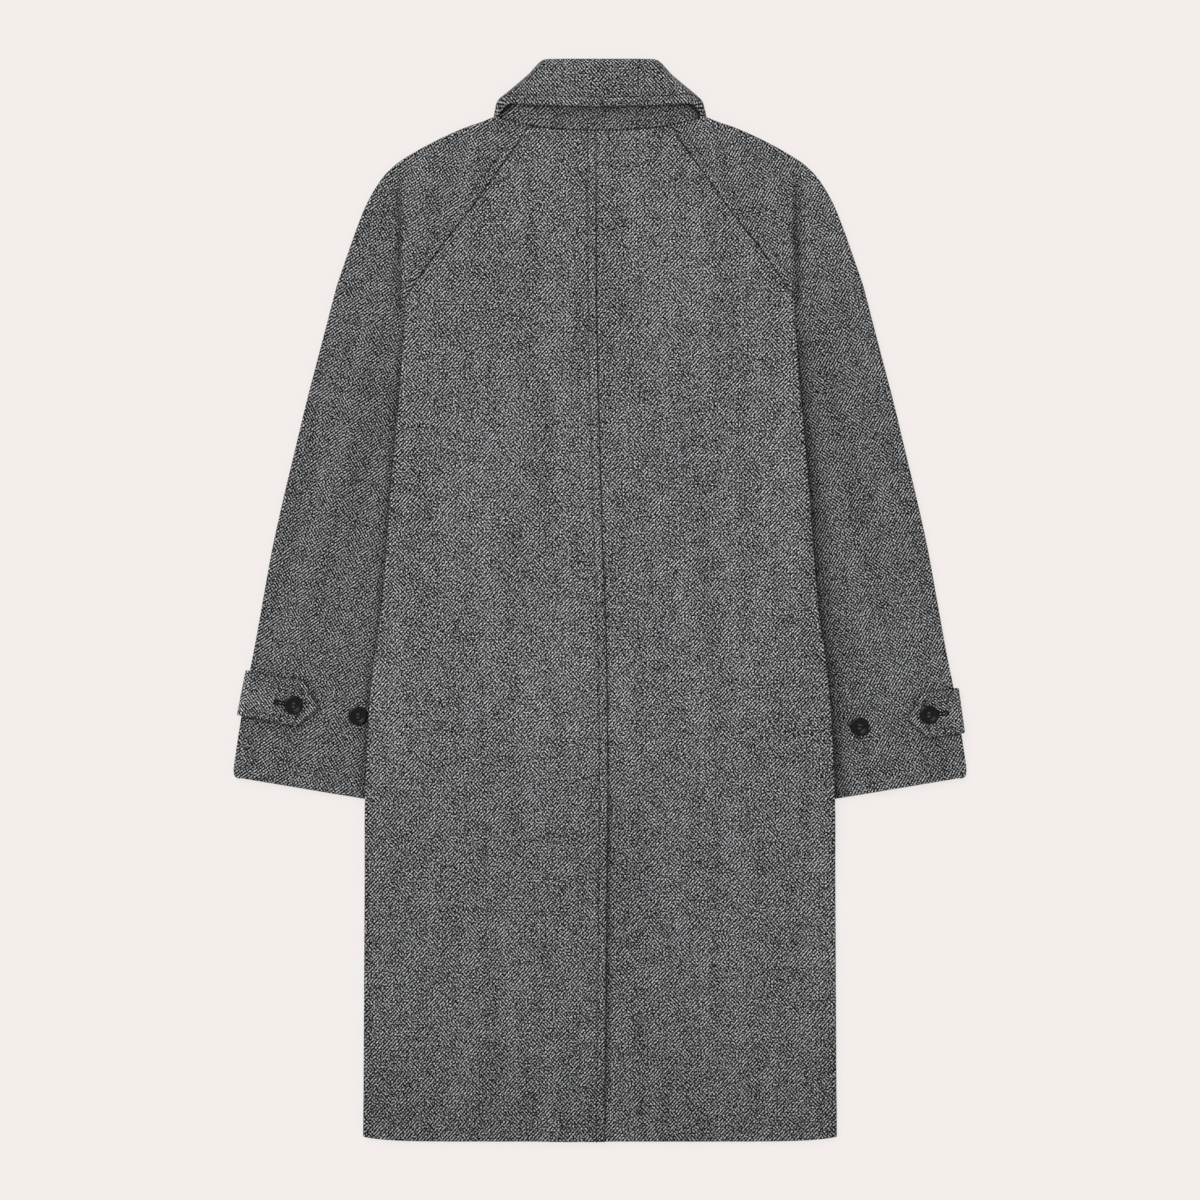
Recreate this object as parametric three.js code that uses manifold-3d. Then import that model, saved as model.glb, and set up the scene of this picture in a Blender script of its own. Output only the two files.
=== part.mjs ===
// A wool overcoat with raglan sleeves, a folded collar and cuff tabs, lying flat on a surface, back up.
// Millimetres. +Y runs to the collar, +X to the wearer's right, +Z up from the surface at Z = 0.
// Every panel is one sheet of cloth: a grid of points along its middle, thickened along its normals.

import * as THREE from "three";
import { mergeVertices } from "three/addons/utils/BufferGeometryUtils.js";
import Module from "manifold-3d";

// Cloth and the heights of its layers, from the surface up.
const CLOTH = 2.4;
const COLLAR_LEAF = 3.2;
const TAB_LEAF = 3;
const SEAM = 0.3;
const LAP = CLOTH + SEAM;
const FRONT_LEVEL = CLOTH / 2;
const BACK_LEVEL = FRONT_LEVEL + 2 * LAP;
const NECK_RISE = 1.5 * COLLAR_LEAF + SEAM - FRONT_LEVEL;
const TUCKED_LEVEL = FRONT_LEVEL + CLOTH + 0.6;
const BODY_FRONT_RISE = TUCKED_LEVEL + CLOTH + 0.4 - FRONT_LEVEL;
const BODY_BACK_RISE = BODY_FRONT_RISE - 1;
const CAP_RISE = BODY_BACK_RISE / 2;

// Main places along the coat.
const UNDERARM = { x: 204.5, y: 316 };
const HEM_Y = -569.2;
const VENT_TOP_Y = -176;
const UNDERLAP_WIDTH = 40;
const UNDERLAP_SLANT = 20;
const STAND_LEFT = 35;
const STAND_RIGHT = 30;
const NECK_BACK_CENTRE_Y = 492.5;
const NECK_FRONT_CENTRE_Y = 415;

// Half width of the body, from the underarm to the hem.
const BODY_EDGE = [
  { y: 330, x: 204 },
  { y: 316, x: 204.3 },
  { y: 262, x: 207 },
  { y: 210, x: 211 },
  { y: 157, x: 216 },
  { y: 105, x: 220.5 },
  { y: 42, x: 225 },
  { y: -10, x: 229.5 },
  { y: -63, x: 237 },
  { y: -115, x: 242.2 },
  { y: -168, x: 245 },
  { y: -210, x: 246.8 },
  { y: -262, x: 247.3 },
  { y: -569.2, x: 248.9 },
];

// Inner fold of the sleeve, which runs under the body edge.
const SLEEVE_INNER = [
  { y: 316, x: 204.7 },
  { y: 300, x: 205.6 },
  { y: 282, x: 206.5 },
  { y: 262, x: 207.5 },
  { y: 210, x: 209.5 },
  { y: 105, x: 214.5 },
  { y: -52, x: 222 },
  { y: -212, x: 229 },
];

// Outer edge of the coat from the neck over the shoulder, down to a point level with the underarm.
const SHOULDER = [
  { x: 105, y: 508.4 },
  { x: 110.8, y: 507.4 },
  { x: 124.4, y: 502 },
  { x: 142.3, y: 496 },
  { x: 172.2, y: 483 },
  { x: 196.4, y: 470 },
  { x: 214.7, y: 458 },
  { x: 227.9, y: 445 },
  { x: 243.6, y: 420 },
  { x: 254.6, y: 394 },
  { x: 264.1, y: 367.5 },
  { x: 277, y: 330 },
];

// Outer edge of the sleeve from there to the cuff.
const ARM = [
  { x: 277, y: 330 },
  { x: 294.5, y: 262.5 },
  { x: 308.2, y: 210 },
  { x: 320.8, y: 157.5 },
  { x: 333.4, y: 105 },
  { x: 344.9, y: 52.5 },
  { x: 354.4, y: 0 },
  { x: 363.8, y: -52.5 },
  { x: 374, y: -105 },
  { x: 382.5, y: -157.5 },
  { x: 385.9, y: -186 },
];

// Raglan seams, from the neck to the underarm.
const RAGLAN_BACK = [
  { x: 74.5, y: 498 },
  { x: 89.5, y: 475 },
  { x: 117, y: 437 },
  { x: 138.6, y: 407 },
  { x: 155.8, y: 386 },
  { x: 173.7, y: 362 },
  { x: 191, y: 337 },
  { x: 204.5, y: 316 },
];
const RAGLAN_FRONT = [
  { x: 88, y: 468 },
  { x: 108, y: 438 },
  { x: 132, y: 404 },
  { x: 157, y: 375 },
  { x: 178, y: 351 },
  { x: 193, y: 333.5 },
  { x: 204.5, y: 316 },
];

// Centre back seam, which wanders as the coat lies.
const CENTRE_BACK = [
  { y: 495, x: -4.2 },
  { y: 400, x: -4 },
  { y: 273, x: -3 },
  { y: 157, x: 0 },
  { y: 60, x: 2.6 },
  { y: -31, x: 6.3 },
  { y: -194, x: 8.4 },
  { y: -315, x: 7.4 },
  { y: -568, x: 5.2 },
];

// Rows of the panels: steps along the raglan seam, heights below the underarm, steps down the sleeve.
const RAGLAN_STEPS = [0, 0.14, 0.3, 0.48, 0.66, 0.8, 0.87, 0.94, 1];
const BODY_ROWS = [
  300, 284, 262, 225, 170, 110, 50, -10, -65, -110, -148, -176, -196, -225, -262, -300, -380, -460, -530,
  HEM_Y,
];
const SLEEVE_STEPS = [0.03, 0.06, 0.1, 0.17, 0.26, 0.36, 0.46, 0.56, 0.65, 0.71, 0.76, 0.81, 0.86, 0.92, 1];
const PLAIN_COLUMNS = { back: 2, front: 1 };
const RISE_COLUMNS = 3;
const FOLD_COLUMNS = 2;
const SLEEVE_COLUMNS = 6;
const CURL_STARTS = 0.8;
// Columns that a lap needs beside the centre edge of the back, and of the fronts from centre front.
const LAP_STEPS = [22, UNDERLAP_WIDTH + 3, UNDERLAP_WIDTH + 38];
const STAND_STEPS = [0, STAND_LEFT / 2, STAND_LEFT + 1.5, STAND_LEFT + 25];
const FULL_BACK_WIDTH = 190;

// Soft ridges of the back and sleeves: centre, half length, half width, height and lean in degrees.
const RIDGES = [
  { x: -96, y: 150, long: 190, wide: 26, high: 1.5, lean: 3 },
  { x: 118, y: 250, long: 150, wide: 24, high: 1.7, lean: -4 },
  { x: 92, y: -60, long: 210, wide: 30, high: 1.3, lean: -2 },
  { x: -138, y: -330, long: 170, wide: 30, high: 1.8, lean: 2 },
  { x: 140, y: -370, long: 160, wide: 28, high: 1.9, lean: -3 },
  { x: -70, y: -430, long: 110, wide: 24, high: 1.2, lean: -2 },
  { x: -252, y: 210, long: 130, wide: 20, high: 1.4, lean: -13 },
  { x: 262, y: 170, long: 140, wide: 20, high: 1.5, lean: 14 },
  { x: 190, y: 415, long: 60, wide: 20, high: 1.2, lean: 44 },
  { x: -184, y: 420, long: 60, wide: 20, high: 1.3, lean: -46 },
];

// Cuff tabs: where the middle crosses the sleeve edge, how far the tip reaches in, and its slope.
const TAB_WIDTH = 48;
const TAB_POINT = 19;
const TAB_UNDER = 32;
const TAB_LIFT = 0.9;
const TAB_PROUD = 1.2;
const TAB_FOLD_START = 4;
const TABS = [
  { name: "left", side: -1, x: 373, y: -98, reach: 78.7, slope: 11 },
  { name: "right", side: 1, x: 376.3, y: -116.5, reach: 54.3, slope: 8 },
];

// Buttons, by the centre of each.
const BUTTON_RADIUS = 10;
const BUTTON_HEIGHT = 3.4;
const THREAD_HOLE = 1;
const HOLE_OFFSET = 1.75;
// Half section of a button, in shares of its radius and height: back, rim, dished middle.
const BUTTON_PROFILE = [
  { out: 0, up: 0 },
  { out: 0.78, up: 0 },
  { out: 0.96, up: 0.2 },
  { out: 1, up: 0.5 },
  { out: 0.95, up: 0.86 },
  { out: 0.84, up: 1 },
  { out: 0.72, up: 0.92 },
  { out: 0.6, up: 0.62 },
  { out: 0, up: 0.52 },
];
const BUTTONS = [
  { name: "tab_button_left", x: -321.3, y: -110.3, onTab: true },
  { name: "tab_button_right", x: 344.9, y: -120.3, onTab: true },
  { name: "cuff_button_left", x: -254.4, y: -121.8, onTab: false },
  { name: "cuff_button_right", x: 273, y: -133, onTab: false },
];

// Collar stations from centre back, round the side, to centre front: neck edge (n), fold (f), outer edge (e).
// turn says which way the fall lies from the stand: 0 above it, 90 beside it, 180 below it.
// under is the share of the neck edge that lies at the fronts. There the stand keeps the neck's height.
const COLLAR = [
  { nx: 0, ny: 493.1, fx: 0, fy: 567.4, fz: 2, turn: 0, under: 0, roll: 2.1, ex: 0, ey: 517.7, ez: 11.3 },
  { nx: 37, ny: 494.5, fx: 33, fy: 567.4, fz: 2, turn: 0, under: 0, roll: 2.1, ex: 36, ey: 518.6, ez: 11.3 },
  { nx: 58, ny: 496.5, fx: 56.5, fy: 567, fz: 2.2, turn: 0, under: 0, roll: 2.1, ex: 62, ey: 519.3, ez: 11.3 },
  { nx: 75, ny: 499, fx: 75, fy: 550.2, fz: 3.6, turn: 4, under: 0, roll: 2.1, ex: 82, ey: 520, ez: 11.4 },
  { nx: 90, ny: 502.5, fx: 92, fy: 534.8, fz: 6, turn: 14, under: 0, roll: 2.1, ex: 96, ey: 520.4, ez: 11.8 },
  { nx: 101, ny: 505, fx: 103, fy: 524, fz: 7.8, turn: 45, under: 0, roll: 2, ex: 105.6, ey: 518.5, ez: 11 },
  { nx: 104.6, ny: 509.6, fx: 104.6, fy: 520, fz: 6.9, turn: 92, under: 0.5, roll: 2, ex: 108.9, ey: 512.6, ez: 6.8 },
  { nx: 102.8, ny: 507, fx: 104.6, fy: 518, fz: 5.4, turn: 142, under: 0.8, roll: 1.8, ex: 109.6, ey: 510.2, ez: 2 },
  { nx: 101, ny: 502.5, fx: 102.4, fy: 514.4, turn: 180, under: 1, ex: 112.4, ey: 502, ez: 1.6 },
  { nx: 95.4, ny: 487, fx: 90, fy: 500, turn: 180, under: 1, ex: 117.5, ey: 484, ez: 1.6 },
  { nx: 87.2, ny: 469, fx: 77, fy: 481.5, turn: 180, under: 1, ex: 116, ey: 455, ez: 1.6 },
  { nx: 71, ny: 451, fx: 61, fy: 461, turn: 180, under: 1, ex: 104.5, ey: 424, ez: 1.6 },
  { nx: 51, ny: 435.6, fx: 44, fy: 446, turn: 180, under: 1, ex: 87, ey: 400, ez: 1.6 },
  { nx: 27, ny: 422, fx: 24, fy: 436, turn: 180, under: 1, ex: 69, ey: 382, ez: 1.6 },
  { nx: 3, ny: 416.4, fx: 3, fy: 432, turn: 180, under: 1, ex: 50, ey: 371, ez: 1.6 },
];
const HIGHEST_FRONT_STAND = BACK_LEVEL + NECK_RISE - CLOTH / 2 - COLLAR_LEAF / 2 - SEAM;
const STAND_COLUMNS = 3;
const ROLL_COLUMNS = 4;
const FALL_COLUMNS = 3;

const radians = THREE.MathUtils.degToRad;
const mix = THREE.MathUtils.lerp;
// 0 before a, 1 after b, with soft ends. a may be larger than b.
const ramp = (a, b, value) => {
  const t = THREE.MathUtils.clamp((value - a) / (b - a), 0, 1);
  return t * t * (3 - 2 * t);
};

// A smooth curve through a table's rows, read by height.
function along(rows) {
  const curve = rows.map((row, i) => {
    const before = rows[Math.max(i - 1, 0)];
    const after = rows[Math.min(i + 1, rows.length - 1)];
    return { ...row, slope: (after.x - before.x) / (after.y - before.y) };
  });
  return (y) => {
    if (y >= curve[0].y) return curve[0].x;
    const last = curve[curve.length - 1];
    if (y <= last.y) return last.x;
    const i = curve.findIndex((row) => row.y <= y);
    const [a, b] = [curve[i - 1], curve[i]];
    const span = b.y - a.y;
    const t = (y - a.y) / span;
    const rise = t * t * (3 - 2 * t);
    const start = t * (1 - t) * (1 - t) * span * a.slope;
    const end = t * t * (t - 1) * span * b.slope;
    return mix(a.x, b.x, rise) + start + end;
  };
}

const bodyEdge = along(BODY_EDGE);
const sleeveInner = along(SLEEVE_INNER);
const centreBack = along(CENTRE_BACK);
const planCurve = (rows) =>
  new THREE.CatmullRomCurve3(rows.map((row) => new THREE.Vector3(row.x, row.y, 0)), false, "centripetal");
const shoulder = planCurve(SHOULDER);
const arm = planCurve(ARM);
const innerFold = planCurve(SLEEVE_INNER);

// How much the collar, lying under the fronts, lifts the layers round the neck.
const neckLift = (x, y) => NECK_RISE * ramp(1.5, 1.03, Math.hypot(x / 125, (y - 500) / 140));

// 1 where the body lies over the sleeve, 0 towards the middle of the coat. x is taken from the centre.
function overSleeve(x, y) {
  const inner = y > UNDERARM.y ? UNDERARM.x : sleeveInner(y);
  return ramp(inner - 78, inner - 9, x) * ramp(-300, -226, y);
}

// 0 at the underarm, where body and sleeve part, and 1 from where the body lies over the sleeve.
const parted = (y) => ramp(UNDERARM.y, 262, y);

function ridges(x, y) {
  return RIDGES.reduce((sum, ridge) => {
    const lean = radians(ridge.lean);
    const [dx, dy] = [x - ridge.x, y - ridge.y];
    const across = (dx * Math.cos(lean) + dy * Math.sin(lean)) / ridge.wide;
    const length = (-dx * Math.sin(lean) + dy * Math.cos(lean)) / ridge.long;
    return sum + ridge.high * ramp(1, 0, Math.abs(across)) * ramp(1, 0.3, Math.abs(length));
  }, 0);
}

// 1 under a cuff tab, fading out round it.
function underTab(side, x, y) {
  const tab = TABS.find((row) => row.side === side);
  const slope = radians(tab.slope);
  const [dx, dy] = [tab.x - x, tab.y - y];
  const inward = dx * Math.cos(slope) + dy * Math.sin(slope);
  const across = Math.abs(dy * Math.cos(slope) - dx * Math.sin(slope));
  return ramp(TAB_UNDER + 48, TAB_UNDER + 17, inward) * ramp(TAB_WIDTH / 2 + 42, TAB_WIDTH / 2 + 15, across);
}

// Heights of the middle of each sheet at a place on one side: side is 1 or -1, x from the centre.
const levels = {
  front(side, x, y) {
    const lap = side > 0 ? LAP * ramp(STAND_LEFT + 24, STAND_LEFT + 2, x) : 0;
    return FRONT_LEVEL + neckLift(x, y) + lap + BODY_FRONT_RISE * parted(y) * overSleeve(x, y);
  },
  back(side, x, y) {
    const rise = mix(CAP_RISE * ramp(460, 330, y), BODY_BACK_RISE, parted(y)) * overSleeve(x, y);
    const fromSeam = -(side * x - centreBack(y));
    const lap = side < 0 ? ramp(UNDERLAP_WIDTH + 38, UNDERLAP_WIDTH + 3, fromSeam) : 0;
    return BACK_LEVEL + neckLift(x, y) + rise + LAP * lap * ramp(-105, -168, y) + ridges(side * x, y);
  },
  sleeveFront(side, x, y) {
    return FRONT_LEVEL + neckLift(x, y) + (TAB_LEAF + SEAM) * underTab(side, x, y);
  },
  sleeveBack(side, x, y) {
    const cap = ramp(UNDERARM.x + 7, UNDERARM.x + 0.5, x);
    const flat = BACK_LEVEL + neckLift(x, y) + ridges(side * x, y);
    if (y > UNDERARM.y) return mix(flat, this.back(side, x, y), cap);
    const tucked = (TUCKED_LEVEL - BACK_LEVEL) * ramp(46, 3, x - bodyEdge(y));
    const open = CAP_RISE * cap;
    return flat + mix(open, tucked, parted(y)) + TAB_LIFT * underTab(side, x, y);
  },
};

// One point of a sheet with its outward normal. up is 1 for the layer on top and -1 for the one below.
function sheetPoint(level, side, up, x, y) {
  const step = 0.5;
  const slopeX = (levels[level](side, x + step, y) - levels[level](side, x - step, y)) / (2 * step);
  const slopeY = (levels[level](side, x, y + step) - levels[level](side, x, y - step)) / (2 * step);
  return {
    p: new THREE.Vector3(x, y, levels[level](side, x, y)),
    n: new THREE.Vector3(-slopeX * up, -slopeY * up, up).normalize(),
  };
}

// The last columns of a row: the sheet bends over an edge towards the layer on its other side.
// edge is the outline's point, inward the direction from it into the panel, curl how far the sheet bends.
function foldPoints(level, other, side, up, edge, inward, curl) {
  const probe = edge.clone().addScaledVector(inward, 4);
  const height = Math.abs(levels[level](side, probe.x, probe.y) - levels[other](side, probe.x, probe.y));
  const radius = height / 2 - SEAM / 2;
  const inset = SEAM / 2 + (CLOTH / 2 - SEAM / 2) * Math.sin(curl);
  const points = [];
  for (let k = 0; k <= FOLD_COLUMNS; k++) {
    const angle = (curl * k) / FOLD_COLUMNS;
    const spread = 1.1 * (FOLD_COLUMNS - k) * Math.cos(curl);
    const reach = inset + spread + radius * (Math.sin(curl) - Math.sin(angle));
    const place = edge.clone().addScaledVector(inward, reach);
    const start = edge.clone().addScaledVector(inward, inset + radius * Math.sin(curl));
    const flat = sheetPoint(level, side, up, place.x, place.y);
    const base = curl > 0.01 ? levels[level](side, start.x, start.y) : flat.p.z;
    const z = mix(flat.p.z, base, Math.sin(curl)) - up * radius * (1 - Math.cos(angle));
    const n = flat.n.clone().multiplyScalar(Math.cos(angle)).addScaledVector(inward, -Math.sin(angle));
    points.push({ p: new THREE.Vector3(place.x, place.y, z), n: n.normalize() });
  }
  return points;
}

const inwardOf = (curve, t) => {
  const tangent = curve.getTangentAt(t);
  return new THREE.Vector3(tangent.y, -tangent.x, 0);
};

// Curl of the edge at the raglan seam: flat from the neck on, bent right down at the underarm.
const raglanCurl = (t) => (Math.PI / 2) * ramp(CURL_STARTS, 1, t);

// A back or front panel, from its centre edge to the raglan seam and, below, to the side fold.
function bodyPanel({ level, other, side, up, raglan, neckCentreY, centreX, near, underlap }) {
  const seam = planCurve(raglan);
  const rowOf = (edge, inward, curl, centre) => {
    const fold = foldPoints(level, other, side, up, edge, inward, curl);
    const last = fold[0].p;
    const overlap = edge.y < UNDERARM.y ? Math.max(bodyEdge(edge.y) - sleeveInner(edge.y), 0) : 0;
    const width = last.x - centre.x;
    const xs = [centre.x, ...near(width).map((step) => centre.x + step)];
    const knee = last.x - Math.min(overlap + 7, 0.12 * width);
    const start = Math.max(last.x - Math.min(overlap + 76, 0.4 * width), xs.at(-1) + 4);
    const plainColumns = PLAIN_COLUMNS[level];
    for (let j = 1; j <= plainColumns; j++) xs.push(mix(xs.at(-1), start, 1 / (plainColumns + 2 - j)));
    for (let j = 0; j < RISE_COLUMNS; j++) xs.push(mix(start, knee, j / (RISE_COLUMNS - 1)));
    const plain = xs.map((x) => {
      const across = (x - centre.x) / width;
      const bow = mix(centre.y, last.y, Math.max(x / last.x, 0) ** 2);
      return sheetPoint(level, side, up, x, edge.y > UNDERARM.y ? bow : mix(centre.y, last.y, across));
    });
    return [...plain, ...fold];
  };
  const upper = RAGLAN_STEPS.map((t) => {
    const edge = seam.getPointAt(t);
    const y = mix(neckCentreY, UNDERARM.y, t);
    return rowOf(edge, inwardOf(seam, t), raglanCurl(t), { x: centreX(y), y });
  });
  const lower = BODY_ROWS.map((y) => {
    const edge = new THREE.Vector3(bodyEdge(y), y, 0);
    const row = rowOf(edge, new THREE.Vector3(-1, 0, 0), Math.PI / 2, { x: centreX(y), y });
    // The hem turns up a little towards its corners.
    const turnUp = 5 * ramp(-440, HEM_Y, y);
    row.forEach((point) => (point.p.y += turnUp * (Math.abs(point.p.x) / BODY_EDGE.at(-1).x) ** 10));
    return row;
  });
  const grid = [...upper, ...lower];
  if (underlap) for (const row of grid) underlap(row);
  return mirrored(grid, side);
}

// A sleeve half, ruled from the raglan seam and the inner fold out to the shoulder and arm.
function sleevePanel({ level, other, side, up, raglan }) {
  const seam = planCurve(raglan);
  const rowOf = (inner, seamInward, curl, outer, outerInward) => {
    const fold = foldPoints(level, other, side, up, outer, outerInward, Math.PI / 2);
    const across = fold[0].p.clone().sub(inner).setZ(0).normalize();
    const innerInward = across.lerp(seamInward, Math.sin(curl)).normalize();
    const bend = foldPoints(level, other, side, up, inner, innerInward, curl).reverse();
    const [from, to] = [bend[bend.length - 1].p, fold[0].p];
    const plain = [];
    for (let j = 1; j < SLEEVE_COLUMNS; j++) {
      const t = j / SLEEVE_COLUMNS;
      plain.push(sheetPoint(level, side, up, mix(from.x, to.x, t), mix(from.y, to.y, t)));
    }
    return [...bend, ...plain, ...fold];
  };
  const rowAt = (inner, outer, t, curl) =>
    rowOf(inner.getPointAt(t), inwardOf(inner, t).negate(), curl, outer.getPointAt(t), inwardOf(outer, t));
  const upper = RAGLAN_STEPS.map((t) => rowAt(seam, shoulder, t, raglanCurl(t)));
  const lower = SLEEVE_STEPS.map((t) => rowAt(innerFold, arm, t, Math.PI / 2));
  return mirrored([...upper, ...lower], side);
}

function mirrored(grid, side) {
  const flip = new THREE.Vector3(side, 1, 1);
  const flipped = ({ p, n }) => ({ p: p.clone().multiply(flip), n: n.clone().multiply(flip) });
  return grid.map((row) => row.map(flipped));
}

// The collar: each station runs up the stand, over the roll and down the fall.
function collarGrid() {
  const station = (row, side) => {
    const backNeck = levels.back(side, row.nx, row.ny);
    const frontNeck = Math.min(levels.front(side, row.nx, row.ny), HIGHEST_FRONT_STAND);
    const neck = new THREE.Vector3(row.nx, row.ny, mix(backNeck, frontNeck, row.under));
    const standZ = row.under === 1 ? neck.z : row.fz;
    const roll = row.under === 1 ? (standZ - row.ez) / 2 : row.roll;
    const fold = new THREE.Vector3(row.fx, row.fy, standZ);
    const upStand = fold.clone().sub(neck).normalize();
    const turn = radians(row.turn);
    const outward = new THREE.Vector3(upStand.y, -upStand.x, 0).normalize();
    const toFall = outward.multiplyScalar(Math.sin(turn)).add(new THREE.Vector3(0, 0, Math.cos(turn)));
    toFall.addScaledVector(upStand, -toFall.dot(upStand)).normalize();
    const standTop = fold.clone().addScaledVector(upStand, -roll);
    const centre = standTop.clone().addScaledVector(toFall, roll);
    const fallTop = centre.clone().addScaledVector(toFall, roll);
    const edge = new THREE.Vector3(row.ex, row.ey, row.ez);
    const points = [];
    for (let k = 0; k < STAND_COLUMNS; k++) points.push(neck.clone().lerp(standTop, k / STAND_COLUMNS));
    for (let k = 0; k <= ROLL_COLUMNS; k++) {
      const angle = (Math.PI * k) / ROLL_COLUMNS;
      const place = centre.clone().addScaledVector(toFall, -roll * Math.cos(angle));
      points.push(place.addScaledVector(upStand, roll * Math.sin(angle)));
    }
    for (let k = 1; k <= FALL_COLUMNS; k++) points.push(fallTop.clone().lerp(edge, k / FALL_COLUMNS));
    return points.map((p) => new THREE.Vector3(side * p.x, p.y, p.z));
  };
  const right = COLLAR.map((row) => station(row, 1));
  const left = COLLAR.slice(1).map((row) => station(row, -1));
  return withNormals([...left.reverse(), ...right]);
}

// Normals of a grid that has points only, from its neighbouring points.
function withNormals(points) {
  const at = (i, j) =>
    points[THREE.MathUtils.clamp(i, 0, points.length - 1)][THREE.MathUtils.clamp(j, 0, points[0].length - 1)];
  return points.map((row, i) =>
    row.map((p, j) => {
      const alongRows = at(i + 1, j).clone().sub(at(i - 1, j));
      const alongColumns = at(i, j + 1).clone().sub(at(i, j - 1));
      return { p, n: alongRows.cross(alongColumns).normalize() };
    }),
  );
}

// A cuff tab: from its point on top of the sleeve, round the outer fold, to its end underneath.
function tabGrid(tab) {
  const slope = radians(tab.slope);
  const inward = new THREE.Vector3(-Math.cos(slope), -Math.sin(slope), 0);
  const lengthways = new THREE.Vector3(-inward.y, inward.x, 0).negate();
  const middle = new THREE.Vector3(tab.x, tab.y, 0);
  const topLevel = (p) => levels.sleeveBack(tab.side, p.x, p.y) + CLOTH / 2 + SEAM + TAB_LEAF / 2;
  const underLevel = TAB_LEAF / 2;
  const proud = TAB_PROUD + TAB_LEAF / 2;
  const top = [tab.reach, tab.reach - TAB_POINT / 2, tab.reach - TAB_POINT];
  for (let k = 1; k <= 4; k++) top.push(mix(tab.reach - TAB_POINT, TAB_FOLD_START, k / 4));
  const place = (reach, share) => {
    const width = mix(3, TAB_WIDTH, THREE.MathUtils.clamp((tab.reach - reach) / TAB_POINT, 0, 1));
    return middle.clone().addScaledVector(lengthways, (share * width) / 2).addScaledVector(inward, reach);
  };
  const shares = [-1, -0.5, 0, 0.5, 1];
  const onTop = top.map((reach) =>
    shares.map((share) => {
      const p = place(reach, share);
      return p.setZ(topLevel(p));
    }),
  );
  const folded = [1, 2, 3, 4, 5].map((k) =>
    shares.map((share) => {
      const angle = (Math.PI * k) / 6;
      const p = place(TAB_FOLD_START, share);
      const radius = (topLevel(p) - underLevel) / 2;
      p.addScaledVector(inward, -(TAB_FOLD_START + proud) * Math.sin(angle));
      return p.setZ(underLevel + radius * (1 + Math.cos(angle)));
    }),
  );
  const under = [TAB_FOLD_START, TAB_UNDER / 2, TAB_UNDER].map((reach) =>
    shares.map((share) => place(reach, share).setZ(underLevel)),
  );
  const grid = [...onTop, ...folded, ...under];
  return mirrored(withNormals(grid), tab.side);
}

// One closed solid from a grid of middle points and normals.
function clothSolid(grid, thickness) {
  const [rows, columns] = [grid.length, grid[0].length];
  const positions = [];
  const middle = grid.flat();
  for (const offset of [thickness / 2, -thickness / 2])
    for (const { p, n } of middle) positions.push(...p.clone().addScaledVector(n, offset));
  const outer = (i, j) => i * columns + j;
  const inner = (i, j) => rows * columns + i * columns + j;
  const faces = [];
  const quad = (a, b, c, d) => faces.push([a, b, c], [a, c, d]);
  for (let i = 0; i + 1 < rows; i++)
    for (let j = 0; j + 1 < columns; j++) {
      quad(outer(i, j), outer(i + 1, j), outer(i + 1, j + 1), outer(i, j + 1));
      quad(inner(i, j + 1), inner(i + 1, j + 1), inner(i + 1, j), inner(i, j));
    }
  const rim = [];
  for (let i = 0; i + 1 < rows; i++) rim.push([i, 0]);
  for (let j = 0; j + 1 < columns; j++) rim.push([rows - 1, j]);
  for (let i = rows - 1; i > 0; i--) rim.push([i, columns - 1]);
  for (let j = columns - 1; j > 0; j--) rim.push([0, j]);
  rim.forEach(([i, j], k) => {
    const [nextI, nextJ] = rim[(k + 1) % rim.length];
    quad(outer(nextI, nextJ), outer(i, j), inner(i, j), inner(nextI, nextJ));
  });
  const geometry = new THREE.BufferGeometry();
  geometry.setAttribute("position", new THREE.Float32BufferAttribute(positions, 3));
  const outwards = signedVolume(positions, faces) > 0 ? faces : faces.map(([a, b, c]) => [a, c, b]);
  geometry.setIndex(outwards.flat());
  geometry.computeVertexNormals();
  return geometry;
}

function signedVolume(positions, faces) {
  const corner = (i) => new THREE.Vector3().fromArray(positions, 3 * i);
  return faces.reduce((sum, [a, b, c]) => sum + corner(a).dot(corner(b).cross(corner(c))) / 6, 0);
}

const wasm = await Module();
wasm.setup();

function manifoldOf(geometry) {
  const bare = new THREE.BufferGeometry().setAttribute("position", geometry.getAttribute("position"));
  if (geometry.index) bare.setIndex(geometry.index);
  const merged = mergeVertices(bare, 1e-4);
  return new wasm.Manifold(
    new wasm.Mesh({
      numProp: 3,
      vertProperties: new Float32Array(merged.attributes.position.array),
      triVerts: new Uint32Array(merged.index.array),
    }),
  );
}

// A four-hole coat button: a raised rim round a dished middle.
function buttonGeometry() {
  const onProfile = (at) => new THREE.Vector2(at.out * BUTTON_RADIUS, at.up * BUTTON_HEIGHT);
  const profile = BUTTON_PROFILE.map(onProfile);
  let solid = manifoldOf(new THREE.LatheGeometry(profile, 16).rotateX(Math.PI / 2));
  for (const [sx, sy] of [[1, 1], [-1, 1], [-1, -1], [1, -1]]) {
    const drill = new THREE.CylinderGeometry(THREAD_HOLE, THREAD_HOLE, 4 * BUTTON_HEIGHT, 6);
    drill.rotateX(Math.PI / 2).translate(HOLE_OFFSET * sx, HOLE_OFFSET * sy, 0);
    solid = solid.subtract(manifoldOf(drill));
  }
  const mesh = solid.getMesh();
  const geometry = new THREE.BufferGeometry();
  geometry.setAttribute("position", new THREE.BufferAttribute(mesh.vertProperties, 3));
  geometry.setIndex(new THREE.BufferAttribute(mesh.triVerts, 1));
  geometry.computeVertexNormals();
  return geometry;
}

const wool = new THREE.MeshStandardMaterial({ color: 0x646464, roughness: 0.95, metalness: 0 });
const horn = new THREE.MeshStandardMaterial({ color: 0x151412, roughness: 0.35, metalness: 0 });

const coat = new THREE.Group();
coat.name = "wool_overcoat";

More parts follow.
